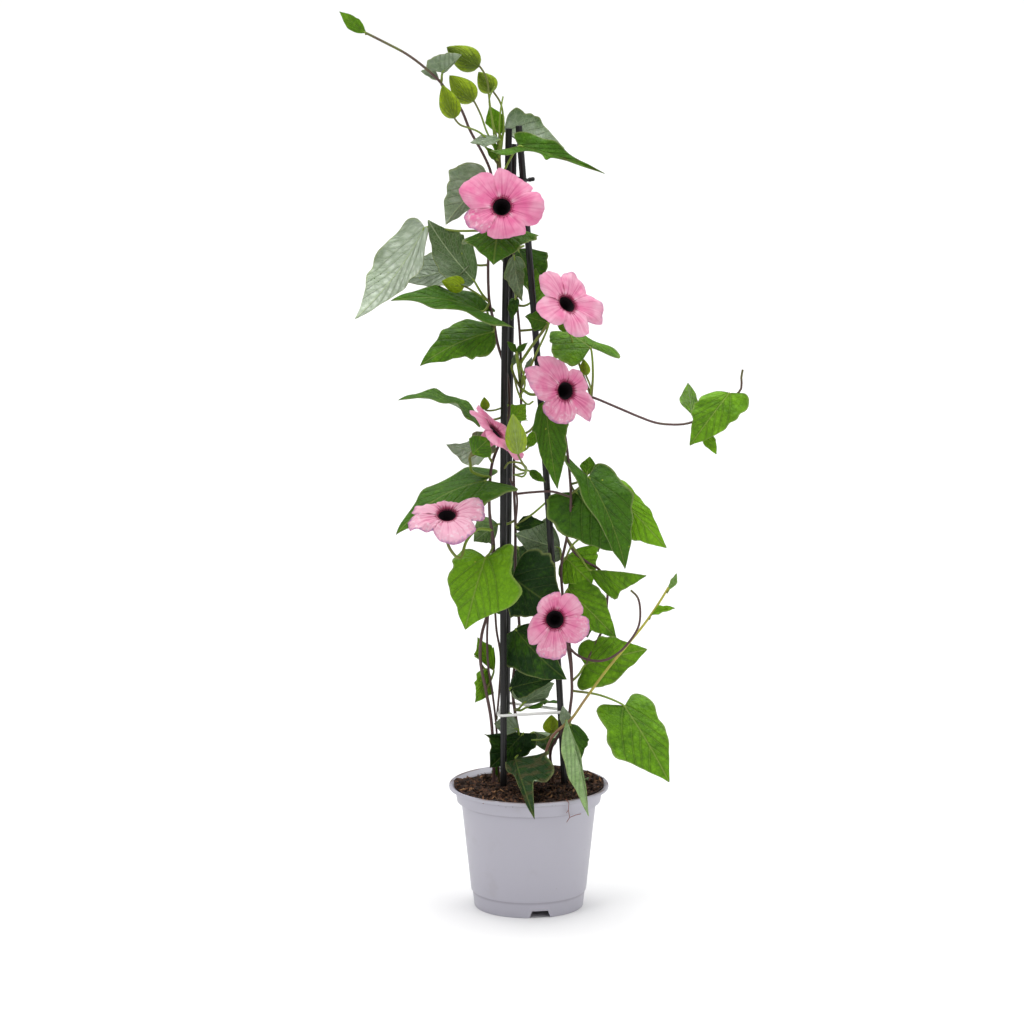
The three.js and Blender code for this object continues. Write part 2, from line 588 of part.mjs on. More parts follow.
function petalRays(petals) {
  const rays = [];
  petals.forEach((rim, i) => {
    const [first, firstReach] = rim[0];
    const [last, lastReach] = petals[(i + petals.length - 1) % petals.length].slice(-1)[0];
    const before = last - (i === 0 ? 360 : 0);
    const inner = PETAL_NOTCH * Math.min(firstReach, lastReach);
    const notch = { angle: (before + first) / 2, reach: inner, lobe: 0 };
    const edge = rim.map(([angle, reach], k) => (
      { angle, reach, lobe: 1 - Math.abs((2 * k + 1) / rim.length - 1) }
    ));
    for (const ray of [notch, ...edge]) {
      rays.push({ ...ray, angle: THREE.MathUtils.degToRad(ray.angle) });
    }
  });
  return rays;
}

function cupShell(place, rings, wall) {
  const count = rings[0].length;
  const patch = [place(0, 0, rings[0][0][2]), ...rings.flat().map((p) => place(p[0], p[1], p[2]))];
  const at = (k, j) => 1 + k * count + (j % count);
  const triangles = [];
  for (let j = 0; j < count; j += 1) {
    triangles.push([0, at(0, j), at(0, j + 1)]);
    for (let k = 0; k < rings.length - 1; k += 1) {
      triangles.push([at(k, j), at(k + 1, j), at(k + 1, j + 1)], [at(k, j), at(k + 1, j + 1), at(k, j + 1)]);
    }
  }
  const rim = rings[0].map((_, j) => at(rings.length - 1, j));
  return thicken(patch, triangles, rim, 0, wall);
}

function corolla(bloom) {
  const rays = petalRays(bloom.petals);
  const round = (radius, depth) => rays.map(
    (ray) => [radius * Math.cos(ray.angle), radius * Math.sin(ray.angle), depth],
  );
  const limb = (share, rise) => rays.map((ray) => {
    const radius = Math.max(BLOOM.mouth + 2, share * ray.reach);
    return [radius * Math.cos(ray.angle), radius * Math.sin(ray.angle), rise * (0.4 + ray.lobe)];
  });
  const rings = [
    round(BLOOM.tubeRadius, -BLOOM.tube),
    round(BLOOM.mouth, -0.5),
    limb(0.94, BLOOM.limbRise),
  ];
  return cupShell(frameOf(bloom), rings, BLOOM.wall);
}

function throat(bloom) {
  const sides = 10;
  const ring = (radius, depth) => Array.from({ length: sides }, (_, j) => {
    const angle = (2 * Math.PI * j) / sides;
    return [radius * Math.cos(angle), radius * Math.sin(angle), depth];
  });
  const rings = [ring(3, -0.55 * BLOOM.tube), ring(6.1, -1.4)];
  return cupShell(frameOf(bloom), rings, BLOOM.throatWall);
}

// The green parts behind a bloom: its stalk, the disc under the tube, and two clasping bracts.
function bloomGreens(bloom, curve) {
  const place = frameOf(bloom);
  const under = -BLOOM.tube - BLOOM.wall - CLEARANCE;
  const route = [place(0, 0, under), place(0, 0, under - 4), ...bloom.stalk.map(vec)];
  route[route.length - 1] = nearestOn(curve, route[route.length - 1]);
  const discLine = [place(0, 0, under), place(0, 0, under - 1.2), place(0, 0, under - 2.4)];
  const disc = sweep(discLine, [4.4, 1.6], 6, 3);
  const bracts = [1, -1].map((s) => blade({
    form: LANCE,
    base: place(0, s * 3.9, under - 0.6).toArray(),
    tip: place(0, s * 9.4, -4.5).toArray(),
    left: place(-7 * s, s * 6, under + 11).toArray(),
    right: place(7 * s, s * 6, under + 11).toArray(),
    arch: 2.5,
  }, 5));
  return [disc, sweep(route, [1, 0.8], 4, 12), ...bracts];
}

// ---- the leafy stems ---------------------------------------------------------------------------
function vineGeometry(vine, index) {
  const foot = vine.stem[0];
  const points = [vec([foot[0], foot[1], STEM_FOOT]), ...vine.stem.map(vec)];
  const curve = new THREE.CatmullRomCurve3(points, false, 'centripetal');
  const pieces = [sweep(points, vine.radius, vine.sides, STEM_STEP)];
  vine.leaves.forEach((leaf, i) => {
    pieces.push(blade(leaf, 11 + 97 * index + 13 * i), leafStalk(leaf, curve));
  });
  for (const each of vine.buds) {
    const route = each.stalk.map(vec);
    route[route.length - 1] = nearestOn(curve, route[route.length - 1]);
    const inside = route[0].clone().lerp(vec(each.tip), 0.15);
    pieces.push(bud(each), sweep([inside, ...route], [BUD_STALK, BUD_STALK], 3, 12));
  }
  for (const hook of vine.hooks ?? []) {
    pieces.push(sweep(hook.route.map(vec), hook.radius, 4, 11));
  }
  for (const bloom of BLOOMS.filter((b) => b.vine === vine.name)) {
    pieces.push(...bloomGreens(bloom, curve));
  }
  return fuse(pieces);
}

// ---- pot, soil, stakes and ties ----------------------------------------------------------------
function potGeometry() {
  const p = POT;
  const w = p.wall;
  const footTopRadius = p.footRadius + 1.5;
  const outline = [
    [0, 0], [p.padRadius, 0], [p.padRadius + 1, p.floorBottom], [p.footRadius - w - 1, p.floorBottom],
    [p.footRadius - w - 0.6, 0], [p.footRadius, 0], [footTopRadius, p.footTop],
    [footTopRadius + p.footStep, p.footTop + 0.8], [p.bodyRadius, p.bandBottom - 1],
    [p.bandRadius, p.bandBottom], [p.bandTop, p.lipBottom - 0.8], [p.lipRadius - 0.5, p.lipBottom],
    [p.lipRadius, p.height - 0.8], [p.lipRadius - 0.8, p.height], [p.lipRadius - p.lipWidth, p.height - 0.3],
    [p.bandTop - w, p.lipBottom - 0.8], [p.bandRadius - w, p.bandBottom + 1.5],
    [p.bodyRadius - w, p.bandBottom - 0.5],
    [footTopRadius - w, p.floorTop], [0, p.floorTop],
  ];
  const lathe = new THREE.LatheGeometry(outline.map(([r, z]) => new THREE.Vector2(r, z)), p.sides);
  lathe.rotateX(Math.PI / 2);
  const tools = NOTCH.angles.map((degrees) => {
    const shape = new THREE.Shape();
    shape.moveTo(-NOTCH.bottom / 2, -1);
    shape.lineTo(NOTCH.bottom / 2, -1);
    shape.lineTo(NOTCH.top / 2, NOTCH.height);
    shape.lineTo(-NOTCH.top / 2, NOTCH.height);
    shape.closePath();
    const block = new THREE.ExtrudeGeometry(shape, { depth: 14, bevelEnabled: false });
    block.rotateX(Math.PI / 2);
    block.translate(0, -p.footRadius + 8, 0);
    block.rotateZ(THREE.MathUtils.degToRad(degrees));
    return block;
  });
  for (let i = 0; i < DRAIN.count; i += 1) {
    const hole = new THREE.CylinderGeometry(DRAIN.radius, DRAIN.radius, 12, 8);
    hole.rotateX(Math.PI / 2);
    const angle = (2 * Math.PI * (i + 0.5)) / DRAIN.count;
    hole.translate(DRAIN.circle * Math.cos(angle), DRAIN.circle * Math.sin(angle), p.floorTop);
    tools.push(hole);
  }
  return cut(lathe, tools);
}

function soilDip(angle) {
  return SOIL.dip.depth * Math.max(0, Math.cos(angle - SOIL.dip.angle)) ** SOIL.dip.sharpness;
}

function soilGeometry() {
  const random = seeded(41);
  const gap = CLEARANCE;
  const places = [new THREE.Vector3(0, 0, SOIL.top)];
  const triangles = [];
  const sides = SOIL.sides;
  const rim = SOIL.rings.length - 1;
  for (let k = 1; k <= rim; k += 1) {
    for (let j = 0; j < sides; j += 1) {
      const angle = (2 * Math.PI * (j + 0.5 * (k % 2))) / sides;
      const heap = SOIL.heap * Math.max(0, Math.cos(angle - 2.4));
      const rough = SOIL.rough * (2 * random() - 1);
      const radius = SOIL.rings[k];
      const height = SOIL.top + heap * (k / rim) + rough - soilDip(angle) * (k / rim) ** 2;
      places.push(new THREE.Vector3(radius * Math.cos(angle), radius * Math.sin(angle), height));
    }
  }
  const inset = POT.wall + gap + 0.3;
  const sideRows = [
    [SOIL.edge.radius, SOIL.edge.height], [POT.bandTop - inset, POT.lipBottom - 1.1],
    [POT.bandRadius - inset, POT.bandBottom + 1.5], [POT.bodyRadius - inset, POT.bandBottom - 0.5],
    [POT.footRadius + 1.6 - inset, POT.floorTop + gap],
  ];
  sideRows.forEach(([radius, z], row) => {
    for (let j = 0; j < sides; j += 1) {
      const angle = (2 * Math.PI * (j + 0.5 * (rim % 2))) / sides;
      const dip = row < 2 ? soilDip(angle) : 0;
      const reach = radius - SOIL.dip.inward * dip;
      places.push(new THREE.Vector3(reach * Math.cos(angle), reach * Math.sin(angle), z - dip));
    }
  });
  places.push(new THREE.Vector3(0, 0, POT.floorTop + gap));
  const end = places.length - 1;
  const rows = rim + sideRows.length;
  const at = (k, j) => 1 + (k - 1) * sides + (j % sides);
  for (let j = 0; j < sides; j += 1) {
    triangles.push([0, at(1, j), at(1, j + 1)], [end, at(rows, j + 1), at(rows, j)]);
    for (let k = 1; k < rows; k += 1) {
      triangles.push([at(k, j), at(k + 1, j), at(k + 1, j + 1)], [at(k, j), at(k + 1, j + 1), at(k, j + 1)]);
    }
  }
  const holes = VINES.map((vine) => {
    const foot = vine.stem[0];
    const hole = new THREE.CylinderGeometry(STEM_HOLE, STEM_HOLE, 50, 8);
    hole.rotateX(Math.PI / 2);
    hole.translate(foot[0], foot[1], STEM_FOOT - 1 + 25);
    return hole;
  });
  for (const stake of STAKES) {
    const line = stake.line.map(vec);
    const below = line[0].clone().addScaledVector(line[1].clone().sub(line[0]).normalize(), -1);
    holes.push(sweep([below, ...line.slice(0, 3)], [STAKE.hole, STAKE.hole], 10, 60));
  }
  return cut(closedMesh(places, triangles), holes);
}

function stakeGeometry(stake) {
  return sweep(stake.line.map(vec), [STAKE.radius, STAKE.radius], 2 * STAKE.flutes, STAKE.step, STAKE.groove);
}

// Where a stake passes a height, worked out on its own curve.
function stakeAt(stake, height) {
  const curve = new THREE.CatmullRomCurve3(stake.line.map(vec), false, 'centripetal');
  const steps = 600;
  let best = curve.getPoint(0);
  for (let i = 1; i <= steps; i += 1) {
    const candidate = curve.getPoint(i / steps);
    if (Math.abs(candidate.z - height) < Math.abs(best.z - height)) best = candidate;
  }
  return best;
}

// A loop drawn tight round the three stakes, like a belt round three posts.
function tieLoop(height, radius) {
  const posts = STAKES.map((stake) => stakeAt(stake, height));
  const middle = posts.reduce((sum, p) => sum.add(p), new THREE.Vector3()).divideScalar(posts.length);
  const turn = (p) => Math.atan2(p.y - middle.y, p.x - middle.x);
  posts.sort((a, b) => turn(a) - turn(b));
  const reach = STAKE.radius + TIE_GAP + radius;
  const route = [];
  posts.forEach((post, i) => {
    const next = posts[(i + 1) % posts.length];
    const before = posts[(i + posts.length - 1) % posts.length];
    const arrive = Math.atan2(post.y - before.y, post.x - before.x) - Math.PI / 2;
    let leave = Math.atan2(next.y - post.y, next.x - post.x) - Math.PI / 2;
    while (leave < arrive) leave += 2 * Math.PI;
    const steps = 4;
    for (let k = 0; k <= steps; k += 1) {
      const angle = arrive + ((leave - arrive) * k) / steps;
      const corner = new THREE.Vector3(Math.cos(angle), Math.sin(angle), 0).multiplyScalar(reach);
      route.push(new THREE.Vector3(post.x, post.y, height).add(corner));
    }
  });
  return route;
}

// A closed ring of round section through the given points, with its corners in the plane.
function ring(route, radius, sides) {
  const count = route.length;
  const places = [];
  const triangles = [];
  route.forEach((point, k) => {
    const before = route[(k + count - 1) % count];
    const after = route[(k + 1) % count];
    const ahead = after.clone().sub(before).normalize();
    const outward = new THREE.Vector3(ahead.y, -ahead.x, 0).normalize();
    for (let j = 0; j < sides; j += 1) {
      const angle = (2 * Math.PI * (j + 0.5)) / sides;
      const place = point.clone().addScaledVector(outward, radius * Math.cos(angle));
      place.z += radius * Math.sin(angle);
      places.push(place);
    }
  });
  for (let k = 0; k < count; k += 1) {
    for (let j = 0; j < sides; j += 1) {
      const a = k * sides + j;
      const b = k * sides + ((j + 1) % sides);
      const c = ((k + 1) % count) * sides + j;
      const d = ((k + 1) % count) * sides + ((j + 1) % sides);
      triangles.push([a, c, b], [b, c, d]);
    }
  }
  return closedMesh(places, triangles);
}

function topTieGeometry() {
  const route = tieLoop(TOP_TIE.height, TOP_TIE.radius);
  const loop = ring(route, TOP_TIE.radius, 6);
  const right = route.reduce((best, p) => (p.x > best.x ? p : best));
  const nub = new THREE.BoxGeometry(...TOP_TIE.nub);
  nub.translate(right.x + TOP_TIE.nub[0] / 2 - 0.3, right.y, TOP_TIE.height);
  return fuse([loop, nub]);
}

// ---- assembly --------------------------------------------------------------------------------
const root = new THREE.Group();

function addNode(name, geometry, finish) {
  const material = new THREE.MeshStandardMaterial({ ...finish, metalness: 0 });
  const mesh = new THREE.Mesh(geometry, material);
  mesh.name = name;
  root.add(mesh);
}

addNode('pot', potGeometry(), FINISH.pot);
addNode('soil', soilGeometry(), FINISH.soil);
for (const stake of STAKES) addNode(stake.name, stakeGeometry(stake), FINISH.stake);
addNode('top_tie', topTieGeometry(), FINISH.blackTie);
addNode('lower_tie', ring(tieLoop(LOWER_TIE.height, LOWER_TIE.radius), LOWER_TIE.radius, 6), FINISH.whiteTie);
VINES.forEach((vine, index) => addNode(vine.name, vineGeometry(vine, index), FINISH.leaf));
BLOOMS.forEach((bloom, index) => {
  addNode(`bloom_${index + 1}_petals`, corolla(bloom), FINISH.petal);
  addNode(`bloom_${index + 1}_throat`, throat(bloom), FINISH.throat);
});

export default root;
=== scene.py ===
"""Dresses a potted black-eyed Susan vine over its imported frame.

Sizes and places in the data are millimetres and degrees. Meshes are in metres, +Z up,
with the pot's foot at the origin and the front of the plant at -Y.
"""
import logging
import math
from collections.abc import Callable, Iterable, Sequence
from dataclasses import dataclass, field
from enum import Enum
from typing import Any

import bpy
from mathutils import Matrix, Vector, noise


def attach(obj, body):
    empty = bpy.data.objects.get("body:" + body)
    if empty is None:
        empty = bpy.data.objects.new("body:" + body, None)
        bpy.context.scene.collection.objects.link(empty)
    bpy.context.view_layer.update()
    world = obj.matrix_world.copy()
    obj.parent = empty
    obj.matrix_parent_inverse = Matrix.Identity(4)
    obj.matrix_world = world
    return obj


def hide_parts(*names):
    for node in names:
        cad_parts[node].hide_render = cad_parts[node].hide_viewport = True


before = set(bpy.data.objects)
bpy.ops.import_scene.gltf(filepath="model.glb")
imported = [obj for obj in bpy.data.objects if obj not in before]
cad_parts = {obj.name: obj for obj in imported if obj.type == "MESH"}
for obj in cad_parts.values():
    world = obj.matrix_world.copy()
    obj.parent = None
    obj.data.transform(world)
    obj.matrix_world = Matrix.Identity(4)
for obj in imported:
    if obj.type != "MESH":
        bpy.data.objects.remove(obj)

MM = 0.001
BODY = "root"
log = logging.getLogger("susan_vine")

Point = Sequence[float]
Face = tuple[int, ...]
Line = tuple[Sequence[Vector], Sequence[float]]
Socket = bpy.types.NodeSocket
Tree = bpy.types.NodeTree
Mesh = bpy.types.Mesh
Material = bpy.types.Material
Finishes = dict[str, Material]


# ---- forms and plant data ----


class BladeForm(Enum):
    """Outlines of a blade: place of the widest point, left and right margin, and teeth.

    Each point of a margin holds a place along the midrib, the share of the half width
    there, and the place on the midrib that faces it. The teeth's depth is a share of the
    half width.
    """

    HEART = (
        0.05,
        (
            (-0.07, 0.26, 0.02), (-0.14, 0.56, 0.05), (-0.10, 0.84, 0.11), (0.06, 1.0, 0.19),
            (0.17, 0.94, 0.28), (0.28, 0.96, 0.37), (0.40, 0.88, 0.47), (0.53, 0.77, 0.59),
            (0.66, 0.58, 0.70), (0.79, 0.39, 0.81), (0.91, 0.17, 0.92),
        ),
        None,
        0.036,
    )
    LANCE = (
        0.40,
        ((0.1, 0.5, 0.1), (0.22, 0.84, 0.22), (0.38, 1.0, 0.38), (0.58, 0.9, 0.58), (0.8, 0.5, 0.8)),
        None,
        0.01,
    )
    RAGGED = (
        0.50,
        (
            (0.0, 0.8, 0.08), (0.12, 0.94, 0.2), (0.25, 1.0, 0.32), (0.36, 0.62, 0.42),
            (0.47, 0.5, 0.5), (0.62, 0.42, 0.62), (0.88, 0.22, 0.82),
        ),
        (
            (0.0, 0.71, 0.08), (0.27, 0.95, 0.2), (0.33, 0.84, 0.32), (0.585, 1.0, 0.42),
            (0.7, 0.66, 0.5), (0.62, 0.36, 0.62), (0.86, 0.13, 0.82),
        ),
        0.012,
    )
    TAILED = (
        0.19,
        (
            (-0.2, 0.8, 0.03), (-0.31, 1.9, 0.08), (-0.1, 1.15, 0.14), (0.12, 0.45, 0.22),
            (0.26, 0.28, 0.3), (0.34, 0.74, 0.38), (0.42, 0.3, 0.5), (0.8, 0.16, 0.78),
        ),
        (
            (-0.06, 0.3, 0.03), (-0.09, 0.76, 0.08), (0.05, 0.93, 0.14), (0.19, 1.0, 0.22),
            (0.34, 0.94, 0.3), (0.46, 0.72, 0.38), (0.6, 0.34, 0.5), (0.82, 0.14, 0.78),
        ),
        0.02,
    )

    def margin(self, half: int) -> tuple[Point, ...]:
        """The outline's points from base to tip, of the left (0) or the right (1) half."""
        return self.value[2] if half and self.value[2] else self.value[1]


@dataclass(frozen=True)
class Leaf:
    """A leaf: its blade's corner points, its stalk's root on the stem, and its look.

    lit paints light and shade into the blade's colour: 0 gives the deep green of a blade in
    shade and 1 the yellow-green of one that the light shines through, as a young blade partly
    is. pale is how silvery its underside is, and slope how much paler its right half is than
    its left, a painted gradient of light and shade. wear is how much of it is brown and dead,
    and full how much wider each half is in the middle.
    """

    form: BladeForm
    base: Point
    tip: Point
    left: Point
    right: Point
    arch: float
    node: Point
    via: Point | None = None
    lit: float = 0.2
    pale: float = 0.2
    wear: float = 0.0
    slope: float = 0.0
    full: Point = (0.0, 0.0)


@dataclass(frozen=True)
class Bud:
    """A closed bud on its stalk, which runs from the bud down to the stem."""

    tip: Point
    radius: float
    stalk: Sequence[Point]
    # lit paints how brightly the light falls on the bud or shines through it.
    lit: float = 0.7
    matt: float = 0.0


@dataclass(frozen=True)
class Runner:
    """A bare side branch or tendril, brown or green, with its radius at either end."""

    radius: Point
    route: Sequence[Point]
    green: bool = False


@dataclass(frozen=True)
class BloomPlan:
    """Where a bloom is, how it faces, and the angle and reach of each petal's edge points.

    wilt is how withered each petal's tip is, pale how light the bloom is, and turn and
    broad how far its bracts are turned round the tube, and how wide they are.
    """

    vine: str
    eye: Point
    face: Point
    petals: Sequence[Sequence[Point]]
    stalk: Sequence[Point]
    wilt: Sequence[float]
    pale: float
    turn: float = 0.0
    broad: float = 1.0


@dataclass(frozen=True)
class VinePlan:
    """A leafy stem with all that grows on it, and its radius at the foot and the tip."""

    name: str
    radius: Point
    stem: Sequence[Point]
    leaves: Sequence[Leaf]
    buds: Sequence[Bud] = ()
    hooks: Sequence[Runner] = ()


def heart(*places: Any, **look: Any) -> Leaf:
    """A heart-shaped leaf."""
    return Leaf(BladeForm.HEART, *places, **look)


def lance(*places: Any, **look: Any) -> Leaf:
    """A narrow young leaf."""
    return Leaf(BladeForm.LANCE, *places, **look)


# Stakes: centre lines from foot to top.
STAKE_LINES: dict[str, tuple[Point, ...]] = {
    "stake_left": ((-18.7, 0, 8), (-18.8, 0.5, 150), (-19, 2, 300), (-17.8, 3.4, 430), (-14.8, 5, 585)),
    "stake_right": ((31, -1, 8), (23.6, 0.5, 150), (15.6, 2, 285), (5, 3.4, 430), (-7.6, 5, 587)),
    "stake_rear": (
        (-16.6, 32, 8), (-16.8, 33, 88), (-16, 30.5, 200), (-14.3, 23.5, 370), (-11.4, 13.6, 572),
    ),
}

# In each leaf and bud, lit paints its light and shade into its colour, and a leaf's slope paints one half of
# its underside paler.
VINE_LEFT = VinePlan(
    "vine_left",
    radius=(1.25, 0.95),
    stem=(
        (-26, 10, 96), (-28, 6, 140), (-32, 2, 164), (-36, -1, 188), (-35, -2, 207), (-30, 3, 225),
        (-27, 4, 251), (-26, 4, 274), (-29, 3, 297), (-29, 3, 318), (-27, 6, 336), (-21, 9, 352),
        (-15, 10, 371), (-15, 10, 394), (-19, 8.5, 411), (-23, 5, 425), (-26, 1, 443), (-29, 0, 457),
        (-30, 0, 485), (-29, 2, 503), (-28, 4, 521), (-27, 4, 540), (-28, 2, 553), (-33, -2, 566),
        (-43, -6, 585), (-50, -9, 602), (-58, -12, 612), (-64, -14, 621), (-75, -17, 632),
        (-89, -20, 643), (-105, -23, 652), (-118, -26, 659),
    ),
    leaves=(
        lance((-118, -26, 659), (-137, -30, 675), (-125, -28, 671), (-130, -28, 662), 1, (-118, -26, 659),
            lit=0.7),
        heart((-63, -15, 629), (-49, -24, 643), (-74, -12, 636), (-59, -18, 631), 1, (-64, -14, 620),
            lit=0.3, pale=0.3),
        lance((-65, -13, 623), (-79, -8, 629), (-71, -12, 624), (-72, -12, 632), 1, (-62, -13, 617),
            lit=0.3, pale=0.3),
        heart((-29, 0, 549), (-61, -8, 516), (-35, 6, 526), (-50, -4, 559), 5, (-27, 4, 543), lit=0.3,
            pale=0.25),
        heart((-76, -8, 514), (-127, -26, 449), (-80, -20, 490), (-103, 0, 506), 8, (-29, 3, 512),
            lit=0.3, pale=0.9, slope=-0.35, full=(0, 0.45)),
        heart((-45, 2, 487), (-97, -10, 476), (-56, -10, 475), (-68, 10, 496), 6, (-30, 0, 485), lit=0.3,
            pale=0.95, slope=-0.3),
        heart((-40, -8, 474), (-74, -16, 521), (-62, -16, 479), (-45, -2, 507), 5, (-29, 0, 457),
            lit=0.35, pale=-0.1, slope=-0.3),
        heart((-34, -10, 452), (-101, -26, 463), (-36, 6, 462), (-21, -24, 446), 7, (-29, 0, 457),
            lit=0.36),
        heart((-26, -4, 436), (-80, -18, 413), (-46, 10, 444), (-37, -16, 420), 6, (-25, 1, 441),
            lit=0.55, pale=0.3),
        heart((-32, -4, 350), (-61, -2, 351), (-38, -12, 339), (-39, 6, 355), 4, (-27, 6, 336), lit=0.3,
            pale=0.55),
        heart((-38, 4, 368), (-96, -14, 387), (-44, 26, 372), (-47, -18, 373), 8, (-15, 10, 371),
            lit=0.45),
        heart((-32, -6, 325), (-98, -28, 289), (-41, 18, 329), (-18, -24, 315), 9, (-29, 3, 318),
            lit=0.4),
        heart((-32, -12, 268), (-47, -24, 216), (-57, -8, 265), (-12, -14, 268), 5, (-26, 4, 274),
            lit=0.86, full=(0, 1)),
        heart((-26, 11, 177), (-38, 8, 203), (-26, 14, 196), (-40, 6, 190), -2, (-32, 2, 164), lit=0.85,
            wear=0.15),
        heart((-30, 8, 178), (-40, 4, 154), (-39, 2, 173), (-26, 12, 158), 2, (-35, 0, 184), lit=0.8),
        heart((-36, 14, 262), (-46, 28, 224), (-56, 20, 254), (-22, 20, 252), 4, (-27, 4, 251), lit=0.1),
        heart((-32, 8, 451), (-47, 8, 454), (-35, 9, 460), (-37, 7, 451), 1, (-27, 2, 437), lit=0.05),
    ),
    buds=(
        Bud((-64, -18, 476), 6.2, ((-47, -12, 471), (-36, -5, 463), (-29, 0, 457)), lit=1.15),
        Bud((-33, -3, 387), 3.4, ((-32, -2, 377), (-26, 2, 376), (-17, 8, 380)), lit=0.9),
    ),
    hooks=(
        Runner((0.9, 0.9), ((-29, 3, 300), (-28, 7, 290), (-27, 8, 262), (-28, 5, 245))),
        Runner((0.9, 0.8), ((-30, 3, 225), (-31, 3, 205), (-30, 4, 180), (-27, 7, 160), (-24, 12, 130),
            (-22, 14, 86))),
        Runner((0.85, 0.8), ((-25, 10, 222), (-24, 9, 208), (-21, 9, 189), (-22, 10, 162),
            (-24, 12, 139))),
        Runner((0.8, 0.7), ((-23, 4, 559), (-31, 0, 571), (-37, -3, 579)), green=True),
    ),
)
